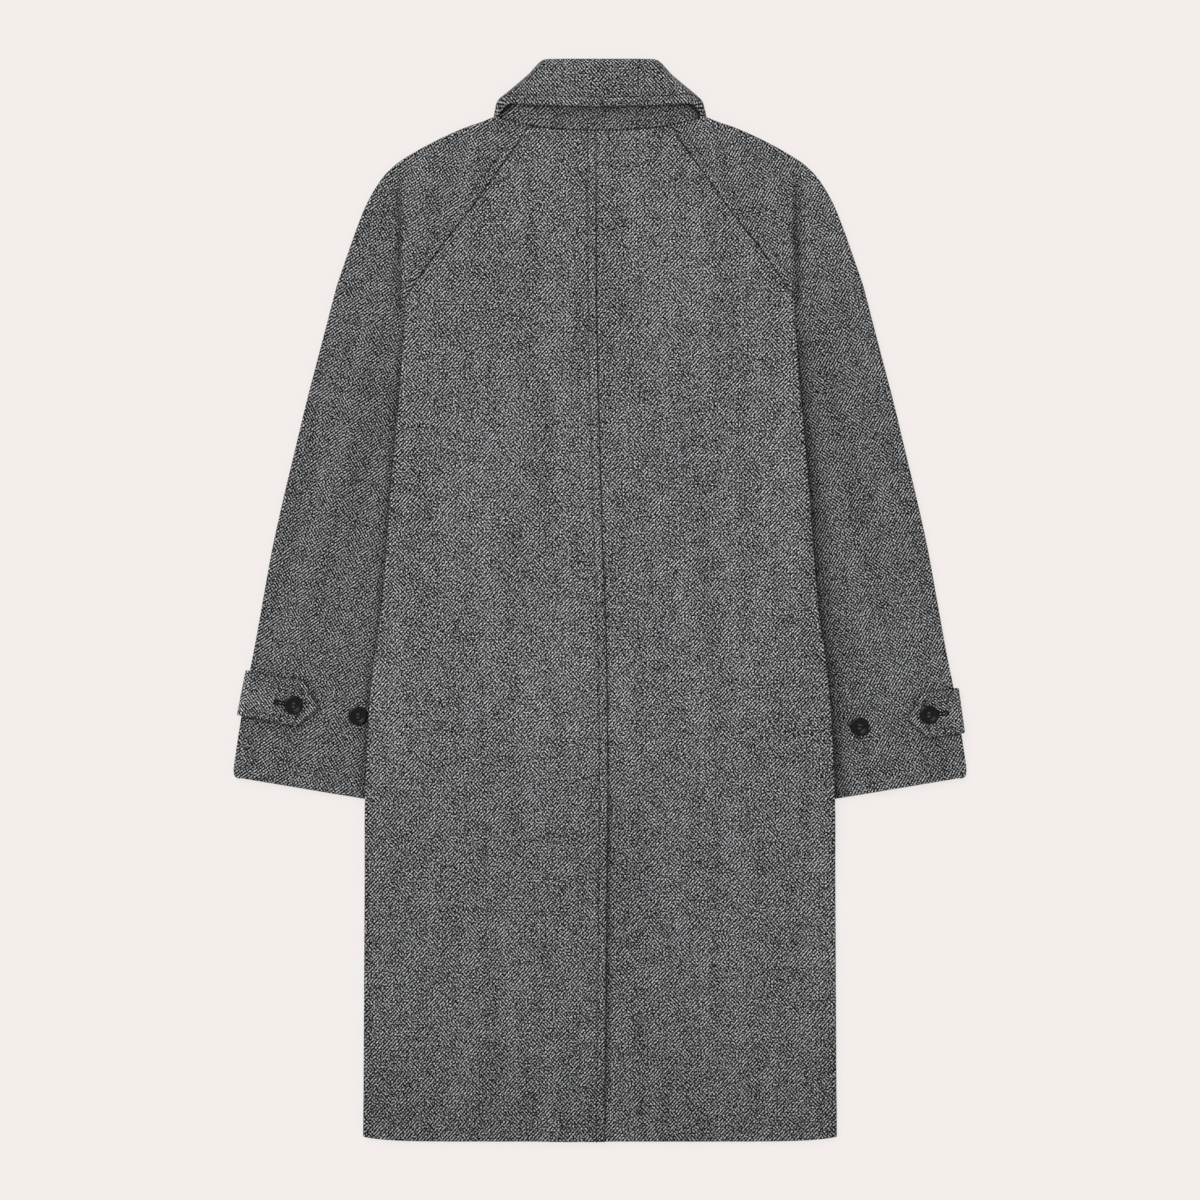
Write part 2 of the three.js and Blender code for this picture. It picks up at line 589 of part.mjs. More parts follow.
function addCloth(name, grid, thickness = CLOTH) {
  const mesh = new THREE.Mesh(clothSolid(grid, thickness), wool);
  mesh.name = name;
  coat.add(mesh);
}

// The right back's underlap runs under the left back below the vent's slanted top.
function addUnderlap(row) {
  const y = row[0].p.y;
  const width = UNDERLAP_WIDTH * THREE.MathUtils.clamp((VENT_TOP_Y - y) / UNDERLAP_SLANT, 0, 1);
  row[0].p.x -= width;
  row[1].p.x = mix(row[0].p.x + width, row[1].p.x, width > 0 ? 0.3 : 1);
}

for (const [word, side] of [["left", -1], ["right", 1]]) {
  const buttonStand = side < 0 ? STAND_LEFT : STAND_RIGHT;
  const back = {
    ...{ side, level: "back", other: "front", up: 1 },
    raglan: RAGLAN_BACK,
    neckCentreY: NECK_BACK_CENTRE_Y,
    centreX: (y) => side * centreBack(y) + SEAM / 2,
    near: (width) => LAP_STEPS.map((x) => x * Math.min(1, width / FULL_BACK_WIDTH)),
    underlap: side > 0 ? addUnderlap : null,
  };
  const front = {
    ...{ side, level: "front", other: "back", up: -1 },
    raglan: RAGLAN_FRONT,
    neckCentreY: NECK_FRONT_CENTRE_Y,
    centreX: () => -buttonStand,
    near: () => STAND_STEPS.map((x) => x + buttonStand),
  };
  addCloth(`back_${word}`, bodyPanel(back));
  addCloth(`front_${word}`, bodyPanel(front));
  addCloth(
    `sleeve_back_${word}`,
    sleevePanel({ level: "sleeveBack", other: "sleeveFront", side, up: 1, raglan: RAGLAN_BACK }),
  );
  addCloth(
    `sleeve_front_${word}`,
    sleevePanel({ level: "sleeveFront", other: "sleeveBack", side, up: -1, raglan: RAGLAN_FRONT }),
  );
}
addCloth("collar", collarGrid(), COLLAR_LEAF);
for (const tab of TABS) addCloth(`cuff_tab_${tab.name}`, tabGrid(tab), TAB_LEAF);

for (const { name, x, y, onTab } of BUTTONS) {
  const side = Math.sign(x);
  const seat = sheetPoint("sleeveBack", side, 1, Math.abs(x), y);
  const lift = CLOTH / 2 + (onTab ? SEAM + TAB_LEAF : 0) + 2 * SEAM;
  const mesh = new THREE.Mesh(buttonGeometry(), horn);
  mesh.name = name;
  const normal = seat.n.clone().multiply(new THREE.Vector3(side, 1, 1));
  mesh.quaternion.setFromUnitVectors(new THREE.Vector3(0, 0, 1), normal);
  mesh.position.set(x, y, seat.p.z).addScaledVector(normal, lift);
  coat.add(mesh);
}

export default coat;
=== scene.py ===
# %% [markdown]
# # A wool overcoat, laid flat with its back up
# The real coat is cut from a heavy black and white tweed: two backs, two fronts, two sleeves in halves, a
# folded collar and two cuff tabs with horn buttons. It lies on a table and is seen from straight above.
# We load the measured frame first, and every piece of cloth is then made in its place in that frame.

import math

import bmesh
import bpy
import numpy as np
from mathutils import Matrix, Vector


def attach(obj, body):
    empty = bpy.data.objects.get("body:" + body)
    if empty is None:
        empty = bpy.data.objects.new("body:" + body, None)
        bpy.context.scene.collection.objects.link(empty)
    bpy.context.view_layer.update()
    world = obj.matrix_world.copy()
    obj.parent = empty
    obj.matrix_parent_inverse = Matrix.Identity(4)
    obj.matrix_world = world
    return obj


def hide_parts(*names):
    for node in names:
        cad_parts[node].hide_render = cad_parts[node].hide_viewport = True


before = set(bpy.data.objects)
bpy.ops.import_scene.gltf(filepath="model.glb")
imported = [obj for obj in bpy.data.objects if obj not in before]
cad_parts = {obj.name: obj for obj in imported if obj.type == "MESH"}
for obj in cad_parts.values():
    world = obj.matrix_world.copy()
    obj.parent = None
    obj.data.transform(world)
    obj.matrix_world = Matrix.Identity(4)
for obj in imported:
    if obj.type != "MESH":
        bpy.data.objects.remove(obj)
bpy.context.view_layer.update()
MM = 0.001
print("nodes:", len(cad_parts))

# %% [markdown]
# ## The camera, the table and the light
# The coat is shown from straight above, so a camera on a high stand is enough. A long lens keeps the edges
# of the coat from leaning. The light in a studio like this comes from everywhere, with a little more from
# the upper left, which is what draws the folds. An even sky gives the first. A sun with a very wide disc
# gives the second, as a large soft panel does, and lights the whole table evenly. The table glows a little
# itself, as a light table does, so the coat stands almost without a shadow.

# %% Camera
LENS = 85.0
SENSOR = 36.0
PICTURE_WIDTH = 1.26
CLOTH_HEIGHT = 0.009

camera_data = bpy.data.cameras.new("camera")
camera_data.lens = LENS
camera_data.sensor_width = SENSOR
camera_data.clip_end = 50
camera = bpy.data.objects.new("camera", camera_data)
camera.location = (0, 0, PICTURE_WIDTH * LENS / SENSOR + CLOTH_HEIGHT)
bpy.context.scene.collection.objects.link(camera)
bpy.context.scene.camera = camera
print("camera height:", round(camera.location.z, 3), "m")


# %% Colour and node helpers
def linear(hex_colour):
    """A colour as painters and web pages write it, turned to the linear values that light needs."""
    channels = [int(hex_colour[i : i + 2], 16) / 255 for i in (1, 3, 5)]
    steps = [c / 12.92 if c <= 0.04045 else ((c + 0.055) / 1.055) ** 2.4 for c in channels]
    return (*steps, 1.0)


def add_node(tree, kind, settings=None, **links):
    """Adds a node. A link's value is another node's output socket, or a plain value for the input."""
    node = tree.nodes.new(kind)
    for name, value in (settings or {}).items():
        setattr(node, name, value)
    for name, value in links.items():
        key = int(name[1:]) if name[1:].isdigit() else name.replace("_", " ")
        if isinstance(value, bpy.types.NodeSocket):
            tree.links.new(value, node.inputs[key])
        else:
            node.inputs[key].default_value = value
    return node


def new_material(name):
    """An empty material with its output, and the principled shader that feeds it."""
    material = bpy.data.materials.new(name)
    material.use_nodes = True
    tree = material.node_tree
    tree.nodes.clear()
    shader = add_node(tree, "ShaderNodeBsdfPrincipled")
    add_node(tree, "ShaderNodeOutputMaterial", Surface=shader.outputs["BSDF"])
    return material, tree, shader


PAPER_WHITE = "#F3EEEB"
print("white as light:", [round(c, 3) for c in linear(PAPER_WHITE)])

# %% Table and light
SKY_SHARE = 0.66
PANEL_SHARE = 0.34
PANEL_SOFTNESS = math.radians(38)
PANEL_HEIGHT = math.radians(52)
PANEL_SIDE = math.radians(132)
TABLE_HALF = 4.0
TABLE_DROP = -0.0004
LIGHT_FROM_BELOW = 0.85

scene = bpy.context.scene
scene.view_settings.view_transform = "Standard"
scene.view_settings.look = "None"

world = bpy.data.worlds.new("studio")
world.use_nodes = True
world.node_tree.nodes["Background"].inputs["Color"].default_value = (1, 1, 1, 1)
world.node_tree.nodes["Background"].inputs["Strength"].default_value = SKY_SHARE
scene.world = world

panel_data = bpy.data.lights.new("panel", "SUN")
panel_data.energy = PANEL_SHARE * math.pi / math.sin(PANEL_HEIGHT)
panel_data.angle = PANEL_SOFTNESS
panel = bpy.data.objects.new("panel", panel_data)
panel.rotation_euler = (0, math.pi / 2 - PANEL_HEIGHT, PANEL_SIDE)
scene.collection.objects.link(panel)

table_mesh = bpy.data.meshes.new("table")
FOUR_CORNERS = [(-1, -1), (1, -1), (1, 1), (-1, 1)]
table_corners = [(x * TABLE_HALF, y * TABLE_HALF, TABLE_DROP) for x, y in FOUR_CORNERS]
table_mesh.from_pydata(table_corners, [], [(0, 1, 2, 3)])
table = bpy.data.objects.new("table", table_mesh)
scene.collection.objects.link(table)

paper, tree, shader = new_material("matt backdrop paper")
paper_white = linear(PAPER_WHITE)
own_share = 1 - LIGHT_FROM_BELOW
shader.inputs["Base Color"].default_value = (*(c * own_share for c in paper_white[:3]), 1)
shader.inputs["Emission Color"].default_value = paper_white
shader.inputs["Emission Strength"].default_value = LIGHT_FROM_BELOW
shader.inputs["Roughness"].default_value = 0.95
shader.inputs["Specular IOR Level"].default_value = 0.1
table_mesh.materials.append(paper)
print("table and light stand")

# %% [markdown]
# ## Tweed
# The cloth is a birdseye tweed: white wool spots in diagonal rows on a black ground, woven from thick,
# uneven yarns. From a distance the two mix to grey with a grain that runs along both diagonals. The
# pattern is drawn on the flat cloth, from two waves, one across and one down, so that it bends and turns
# with each piece. Each row of spots is one yarn thick, and a noise of the same size makes the yarns uneven.

# %% Birdseye wool tweed
# The real repeat is 2.6 by 2.9 mm. That is too fine to show in a picture of the whole coat, so it is drawn
# half as wide again.
SPOTS_ACROSS = 3.8
SPOTS_DOWN = 4.2
YARN_WANDER, WANDER_SIZE = 0.88, 5.0
# Each kind of unevenness, the last two painted shading of soft folds: the size of its lumps, its detail,
# the span of noise that counts, what it adds.
MOTTLE = (24.0, 2.0, (0.35, 0.65), (-0.25, 0.8))
SPECKLE = (1.7, 2.0, (0.2, 0.8), (-1.6, 1.6))
FOLD_SHADE_CLOUDS = (16.0, 2.0, (0.3, 0.7), (-0.09, 0.09))
FOLD_SHADE_STREAKS = (26.0, 1.0, (0.3, 0.7), (-0.07, 0.07))
STREAK_STRETCH = 0.12
YARN_SPAN = (-0.1, 1.9)
BLACK_YARN = "#060607"
WHITE_YARN = "#E9EAEC"
# The near black that the wool is darkened towards, in squeezed seams and for painted shade.
PRESSED_AND_SHADED_WOOL = "#080808"
NAP_HEIGHT, NAP_STRENGTH = 0.22, 0.6

tweed, tree, shader = new_material("birdseye wool tweed")


def wave_of(place, repeat, shape):
    """A wave along one direction of the cloth, with its repeat in millimetres."""
    turns = combined("MULTIPLY", place, 2 * math.pi / (repeat * MM))
    return add_node(tree, "ShaderNodeMath", {"operation": shape}, _0=turns).outputs[0]


def combined(operation, first, second):
    """Two values joined by one step of arithmetic."""
    return add_node(tree, "ShaderNodeMath", {"operation": operation}, _0=first, _1=second).outputs[0]


def noise_of(place, size, detail=1.0):
    """Noise between 0 and 1 whose lumps have this size in millimetres."""
    flat, scale = {"noise_dimensions": "2D"}, 1 / (size * MM)
    return add_node(tree, "ShaderNodeTexNoise", flat, Vector=place, Scale=scale, Detail=detail).outputs


def spanned(value, span, amount, clamp=True):
    """The value over this span, turned to run over this amount."""
    limits = {"From_Min": span[0], "From_Max": span[1], "To_Min": amount[0], "To_Max": amount[1]}
    return add_node(tree, "ShaderNodeMapRange", {"clamp": clamp}, Value=value, **limits).outputs[0]


def uneven(place, size, detail, span, amount, clamp=True):
    """Noise of this size and detail whose span runs over this amount."""
    return spanned(noise_of(place, size, detail)["Fac"], span, amount, clamp)


flat_place = add_node(tree, "ShaderNodeUVMap", {"uv_map": "UVMap"}).outputs["UV"]
wander = noise_of(flat_place, WANDER_SIZE)["Color"]
centred = add_node(tree, "ShaderNodeVectorMath", {"operation": "SUBTRACT"}, _0=wander, _1=(0.5, 0.5, 0.5))
shifted = add_node(
    tree,
    "ShaderNodeVectorMath",
    {"operation": "MULTIPLY_ADD"},
    _0=centred.outputs[0],
    _1=(YARN_WANDER * MM,) * 3,
    _2=flat_place,
)
parts = add_node(tree, "ShaderNodeSeparateXYZ", Vector=shifted.outputs[0])
across, down = parts.outputs["X"], parts.outputs["Y"]
spots = combined("MULTIPLY", wave_of(across, SPOTS_ACROSS, "COSINE"), wave_of(down, SPOTS_DOWN, "COSINE"))
slants = combined("MULTIPLY", wave_of(across, SPOTS_ACROSS, "SINE"), wave_of(down, SPOTS_DOWN, "SINE"))
woven = combined("ADD", spots, combined("MULTIPLY", slants, uneven(flat_place, *MOTTLE)))
stretch = (1, STREAK_STRETCH, 1)
drawn_out = add_node(tree, "ShaderNodeVectorMath", {"operation": "MULTIPLY"}, _0=flat_place, _1=stretch)
# Painted shading of soft folds, lighter and darker, in clouds and in streaks drawn out down the cloth.
painted_fold_shading = combined("ADD", uneven(flat_place, *FOLD_SHADE_CLOUDS), uneven(drawn_out.outputs[0], *FOLD_SHADE_STREAKS))
speckle = uneven(flat_place, *SPECKLE, clamp=False)
yarns = combined("ADD", combined("ADD", woven, painted_fold_shading), speckle)
shade = spanned(yarns, YARN_SPAN, (0, 1))
colour = add_node(
    tree,
    "ShaderNodeMix",
    {"data_type": "RGBA"},
    _0=shade,
    _6=linear(BLACK_YARN),
    _7=linear(WHITE_YARN),
)
# Each piece's attribute darkens the wool towards near black: where its seams squeeze it close, and as painted
# shade and painted shadow where less light falls.
pressed_and_shade = add_node(tree, "ShaderNodeAttribute", {"attribute_name": "pressed_and_shade"}).outputs["Fac"]
shaded = add_node(
    tree,
    "ShaderNodeMix",
    {"data_type": "RGBA"},
    _0=pressed_and_shade,
    _6=colour.outputs[2],
    _7=linear(PRESSED_AND_SHADED_WOOL),
)
tree.links.new(shaded.outputs[2], shader.inputs["Base Color"])
bump = add_node(tree, "ShaderNodeBump", Height=shade, Distance=NAP_HEIGHT * MM, Strength=NAP_STRENGTH)
tree.links.new(bump.outputs[0], shader.inputs["Normal"])
shader.inputs["Roughness"].default_value = 0.92
shader.inputs["Specular IOR Level"].default_value = 0.15
shader.inputs["Sheen Weight"].default_value = 0.04
shader.inputs["Sheen Roughness"].default_value = 0.5
print("tweed repeats every", SPOTS_ACROSS, "by", SPOTS_DOWN, "mm")

# %% [markdown]
# ## The sizes of the coat
# The coat is drawn in millimetres: X runs to the wearer's right, Y to the collar and Z up from the table.
# These tables are the outline of the coat, measured on the garment as it lies, with the heights of its
# layers. A tailor would call them the pattern. Each is a short list of points for a smooth curve.

# %% Thicknesses and heights of the layers
CLOTH = 2.4
COLLAR_LEAF = 3.2
TAB_LEAF = 3.0
SEAM = 0.3
SEWN_GAP = 0.06
FOLD_OVERLAP = 0.3
LAP = CLOTH + SEAM
FRONT_LEVEL = CLOTH / 2
BACK_LEVEL = FRONT_LEVEL + 2 * LAP
NECK_RISE = 1.5 * COLLAR_LEAF + SEAM - FRONT_LEVEL
TUCK_GAP, BODY_GAP, BODY_SETTLES = 0.6, 0.4, 1
TUCKED_LEVEL = FRONT_LEVEL + CLOTH + TUCK_GAP
BODY_FRONT_RISE = TUCKED_LEVEL + CLOTH + BODY_GAP - FRONT_LEVEL
BODY_BACK_RISE = BODY_FRONT_RISE - BODY_SETTLES
CAP_RISE = BODY_BACK_RISE / 2
UNDERARM_X, UNDERARM_Y = 204.5, 316
HEM_Y = -569.2
VENT_TOP_Y = -176
UNDERLAP_WIDTH, UNDERLAP_SLANT = 40, 20
STAND_LEFT, STAND_RIGHT = 35, 30
NECK_BACK_Y, NECK_FRONT_Y = 492.5, 415
print("layers from", FRONT_LEVEL, "to", BACK_LEVEL, "mm")

# %% Outline of the coat
BODY_EDGE = [(204, 330), (204.3, 316), (207, 262), (211, 210), (216, 157), (220.5, 105), (225, 42)]
BODY_EDGE += [(229.5, -10), (237, -63), (242.2, -115), (245, -168), (246.8, -210), (247.3, -262)]
BODY_EDGE += [(248.9, -569.2)]
SLEEVE_INNER = [(203.9, 316), (204.4, 300), (205.2, 282), (206.1, 262), (209, 210), (214.5, 105)]
SLEEVE_INNER += [(222, -52), (229, -212)]
SHOULDER = [(105, 508.4), (110.8, 507.4), (124.4, 502), (142.3, 496), (172.2, 483), (196.4, 470)]
SHOULDER += [(214.7, 458), (227.9, 445), (243.6, 420), (254.6, 394), (264.1, 367.5), (277, 330)]
ARM = [(277, 330), (294.5, 262.5), (308.2, 210), (320.8, 157.5), (333.4, 105), (344.9, 52.5)]
ARM += [(354.4, 0), (363.8, -52.5), (374, -105), (382.5, -157.5), (385.4, -180)]
ARM += [(384.5, -184.4), (380.8, -186.8)]
RAGLAN_BACK = [(74.5, 498), (89.5, 475), (117, 437), (138.6, 407), (155.8, 386), (173.7, 362)]
RAGLAN_BACK += [(191, 337), (204.5, 316)]
RAGLAN_FRONT = [(88, 468), (108, 438), (132, 404), (157, 375), (178, 351), (193, 333.5), (204.5, 316)]
CENTRE_BACK = [(-4.2, 495), (-4, 400), (-3, 273), (0, 157), (2.6, 60), (6.3, -31), (8.4, -194)]
CENTRE_BACK += [(7.4, -315), (5.2, -568)]
print("outline points:", len(BODY_EDGE + SLEEVE_INNER + SHOULDER + ARM))

# %% Soft ridges of the cloth: x, y, half length, half width, height, lean in degrees
RIDGES = [
    (-96, 150, 190, 26, 1.5, 3),
    (118, 250, 150, 24, 1.7, -4),
    (92, -60, 210, 30, 1.3, -2),
    (-138, -330, 170, 30, 1.8, 2),
    (140, -370, 160, 28, 1.9, -3),
    (-70, -430, 110, 24, 1.2, -2),
    (-252, 210, 130, 20, 1.4, -13),
    (262, 170, 140, 20, 1.5, 14),
    (190, 415, 60, 20, 1.2, 44),
    (-184, 420, 60, 20, 1.3, -46),
]
print("ridges:", len(RIDGES))

# %% Cuff tabs and buttons
TAB_WIDTH, TAB_POINT, TAB_UNDER = 48, 19, 32
TAB_LIFT, TAB_PROUD, TAB_FOLD_START = 0.9, 1.2, 4
TABS = {
    -1: {"x": 373, "y": -98, "reach": 78.7, "slope": 11},
    1: {"x": 376.3, "y": -116.5, "reach": 54.3, "slope": 8},
}
BUTTONS = [
    ("tab_button_left", -321.3, -110.3, True),
    ("tab_button_right", 344.9, -120.3, True),
    ("cuff_button_left", -254.4, -121.8, False),
    ("cuff_button_right", 273, -133, False),
]
print("buttons:", len(BUTTONS))


# %% [markdown]
# ## Curves and levels
# Cloth that lies flat is best thought of as a map: for each place on the table, how high does this layer
# lie? Four such maps, for the front, the back and the two halves of the sleeve, hold the whole coat. They
# rise where one layer slips under another, so that no two pieces of cloth share a place.

# %% Curves
def ramp(start, end, value):
    """0 before start, 1 after end, with soft ends. start may be larger than end."""
    t = np.clip((value - start) / (end - start), 0, 1)
    return t * t * (3 - 2 * t)


def mix(a, b, share):
    return a + (b - a) * share


def along(rows):
    """A smooth curve through (x, y) rows that run downwards, read by height."""
    xs, ys = np.array(rows, float).T
    slopes = np.gradient(xs) / np.gradient(ys)

    def read(height):
        height = np.clip(height, ys[-1], ys[0])
        i = np.clip(np.searchsorted(-ys, -height), 1, len(ys) - 1)
        span = ys[i] - ys[i - 1]
        t = (height - ys[i - 1]) / span
        start = t * (1 - t) ** 2 * span * slopes[i - 1]
        end = t * t * (t - 1) * span * slopes[i]
        return mix(xs[i - 1], xs[i], t * t * (3 - 2 * t)) + start + end

    return read


def plan_curve(rows):
    """A smooth curve through (x, y) rows, read by the share of its length: the place and its direction."""
    p = np.array(rows, float)
    p = np.vstack([2 * p[0] - p[1], p, 2 * p[-1] - p[-2]])
    points = []
    for a, b, c, d in zip(p, p[1:], p[2:], p[3:]):
        before, here, after = (np.linalg.norm(q - r) ** 0.5 for q, r in ((b, a), (c, b), (d, c)))
        leave = ((b - a) / before - (c - a) / (before + here) + (c - b) / here) * here
        arrive = ((c - b) / here - (d - b) / (here + after) + (d - c) / after) * here
        t = np.linspace(0, 1, 40, endpoint=False)[:, None]
        rise = t * t * (3 - 2 * t)
        points.append(mix(b, c, rise) + t * (1 - t) ** 2 * leave + t * t * (t - 1) * arrive)
    points = np.vstack([*points, p[-2]])
    lengths = np.concatenate([[0], np.cumsum(np.linalg.norm(np.diff(points, axis=0), axis=1))])

    def read(share):
        share = np.asarray(share, float)
        place, ahead, behind = (
            np.stack([np.interp(np.clip(s, 0, 1) * lengths[-1], lengths, points[:, k]) for k in (0, 1)], -1)
            for s in (share, share + 0.004, share - 0.004)
        )
        direction = ahead - behind
        return place, direction / np.linalg.norm(direction, axis=-1, keepdims=True)

    read.length = lengths[-1]
    return read


body_edge = along(BODY_EDGE)
sleeve_inner = along(SLEEVE_INNER)
centre_back = along(CENTRE_BACK)
shoulder, arm = plan_curve(SHOULDER), plan_curve(ARM)
inner_fold = plan_curve(SLEEVE_INNER)
raglan_back, raglan_front = plan_curve(RAGLAN_BACK), plan_curve(RAGLAN_FRONT)
print("raglan seam", round(raglan_back.length), "mm, sleeve below it", round(arm.length), "mm")


# %% Places on a cuff tab
def tab_spot(tab, reach, aside):
    """A place in plan, by how far it reaches in from the sleeve's edge and lies aside of the tab's middle."""
    slope = math.radians(tab["slope"])
    inward = np.array([-math.cos(slope), -math.sin(slope)])
    lengthways = np.array([inward[1], -inward[0]])
    offset = np.asarray(reach)[..., None] * inward + np.asarray(aside)[..., None] * lengthways
    return np.array([tab["x"], tab["y"]]) + offset


def tab_line(tab, inset):
    """The line round a tab at a distance inside its edge: down one side, round the tip and back."""
    side_reach, tip_reach = tab["reach"] - TAB_POINT, tab["reach"]
    slant = math.atan2(TAB_WIDTH / 2, TAB_POINT)
    tip = tip_reach - inset / math.sin(slant)
    corner = side_reach - inset * math.tan(slant / 2)
    aside = TAB_WIDTH / 2 - inset
    return tab_spot(tab, np.array([0, corner, tip, corner, 0]), np.array([-aside, -aside, 0, aside, aside]))


print("tip of the left tab at", tab_spot(TABS[-1], TABS[-1]["reach"], 0).round(1))

# %% Levels of the layers
# Each pair says where a rise or a fall starts and where it is complete.
NECK_MIDDLE_Y, NECK_REACH_X, NECK_REACH_Y = 500, 125, 140
NECK_SPAN = (1.5, 1.03)
BODY_RISES_INSIDE = (78, 9)
BELOW_CUFF_Y = (-300, -226)
PARTING_Y = (UNDERARM_Y, 262)
RIDGE_END = (1, 0.3)
TAB_SPAN_IN = (TAB_UNDER + 48, TAB_UNDER + 17)
TAB_SPAN_ASIDE = (TAB_WIDTH / 2 + 42, TAB_WIDTH / 2 + 15)
STAND_SPAN = (STAND_LEFT + 24, STAND_LEFT + 2)
UNDERLAP_SPAN = (UNDERLAP_WIDTH + 38, UNDERLAP_WIDTH + 3)
VENT_SPAN_Y = (-105, -168)
CAP_SPAN_X, CAP_SPAN_Y = (UNDERARM_X + 7, UNDERARM_X + 0.5), (460, 330)
TUCK_SPAN = (46, 3)


def neck_lift(x, y):
    """The collar lies under the fronts and lifts the layers round the neck."""
    return NECK_RISE * ramp(*NECK_SPAN, np.hypot(x / NECK_REACH_X, (y - NECK_MIDDLE_Y) / NECK_REACH_Y))


def over_sleeve(x, y):
    """1 where the body lies over the sleeve, 0 towards the middle of the coat."""
    inner = np.where(y > UNDERARM_Y, UNDERARM_X, sleeve_inner(y))
    start, end = BODY_RISES_INSIDE
    return ramp(inner - start, inner - end, x) * ramp(*BELOW_CUFF_Y, y)


def parted(y):
    """0 at the underarm, where body and sleeve part, and 1 from where the body lies over the sleeve."""
    return ramp(*PARTING_Y, y)


def folds_at(table, x, y):
    """For each fold of a table its height, and how far across and along it a place lies."""
    for at_x, at_y, long, wide, high, lean in table:
        lean = math.radians(lean)
        across = ((x - at_x) * math.cos(lean) + (y - at_y) * math.sin(lean)) / wide
        length = ((y - at_y) * math.cos(lean) - (x - at_x) * math.sin(lean)) / long
        yield high, np.abs(across), np.abs(length)


def ridges(x, y):
    """The height of the soft ridges."""
    found = folds_at(RIDGES, x, y)
    return sum(high * ramp(1, 0, across) * ramp(*RIDGE_END, length) for high, across, length in found)


def under_tab(side, x, y):
    """1 under a cuff tab, fading out round it."""
    tab = TABS[side]
    slope = math.radians(tab["slope"])
    dx, dy = tab["x"] - x, tab["y"] - y
    inward = dx * math.cos(slope) + dy * math.sin(slope)
    across = np.abs(dy * math.cos(slope) - dx * math.sin(slope))
    return ramp(*TAB_SPAN_IN, inward) * ramp(*TAB_SPAN_ASIDE, across)


def front_level(side, x, y):
    """The front, which rises over the other front's stand and over the sleeve."""
    lap = LAP * ramp(*STAND_SPAN, x) if side > 0 else 0
    return FRONT_LEVEL + neck_lift(x, y) + lap + BODY_FRONT_RISE * parted(y) * over_sleeve(x, y)


def back_level(side, x, y):
    """The back, which rises over the vent's underlap and over the sleeve."""
    rise = mix(CAP_RISE * ramp(*CAP_SPAN_Y, y), BODY_BACK_RISE, parted(y)) * over_sleeve(x, y)
    from_seam = centre_back(y) - side * x
    lap = LAP * ramp(*UNDERLAP_SPAN, from_seam) if side < 0 else 0
    return BACK_LEVEL + neck_lift(x, y) + rise + lap * ramp(*VENT_SPAN_Y, y) + ridges(side * x, y)


def sleeve_front_level(side, x, y):
    """The front half of a sleeve, which lies on the table and on the end of the tab."""
    return FRONT_LEVEL + neck_lift(x, y) + (TAB_LEAF + SEAM) * under_tab(side, x, y)


def sleeve_back_level(side, x, y):
    """The back half of a sleeve, which sinks to slip under the body's edge below the underarm."""
    cap = ramp(*CAP_SPAN_X, x)
    flat = BACK_LEVEL + neck_lift(x, y) + ridges(side * x, y)
    tucked = (TUCKED_LEVEL - BACK_LEVEL) * ramp(*TUCK_SPAN, x - body_edge(y))
    below = flat + mix(CAP_RISE * cap, tucked, parted(y)) + TAB_LIFT * under_tab(side, x, y)
    return np.where(y > UNDERARM_Y, mix(flat, back_level(side, x, y), cap), below)


print("back at the underarm lies at", round(float(back_level(1, 150.0, 316.0)), 2), "mm")


# %% [markdown]
# ## From a grid of points to a piece of cloth
# A cut piece of cloth is one sheet. We lay a grid over it, fine near its edges where seams and stitching
# need room, and coarse in the middle. The sheet then gets its thickness along its own normals. Its edge
# is rounded, because wool that is folded or pressed at a seam never ends in a sharp corner.

# %% Steps of a grid
EDGE_STEPS = [0, 0.25, 0.7, 1.3, 2.2, 3.4, 4.8]
STITCH_STEPS = [6.2, 7.4, 8.2, 9.0, 9.8, 11, 13, 16.5, 22]
ROOM_IN_MIDDLE, KEPT_SHARE = 6, 0.9


def steps(near, far, middle):
    """Columns of a row: distances kept from its start, distances kept from its end, and the middle."""
    return [np.array(near, float), np.array(far[::-1], float), middle]


def spread(columns, width):
    """The columns of a row of this width, or of many rows at once: places from 0 to the width."""
    near, far, middle = columns
    width = np.atleast_1d(width)[:, None]
    tight = np.minimum(1, KEPT_SHARE * width / (near[-1] + far[0] + ROOM_IN_MIDDLE))
    start, end = near[None] * tight, width - far[None] * tight
    between = np.linspace(0, 1, middle + 2)[1:-1][None]
    return np.hstack([start, mix(start[:, -1:], end[:, :1], between), end])


print("columns of a plain panel:", spread(steps(EDGE_STEPS, EDGE_STEPS, 20), 240).shape[1])


# %% Points over a fold
FOLD_TURNS = 7
# The gap between the layers is measured this far in from the edge.
FOLD_PROBE = 4
# The last columns of an edge that stays flat lie within this reach.
FLAT_REACH = 2.2
# The sheet's own thickness counts only late in the bend, by this power.
LATE_IN_BEND = 6


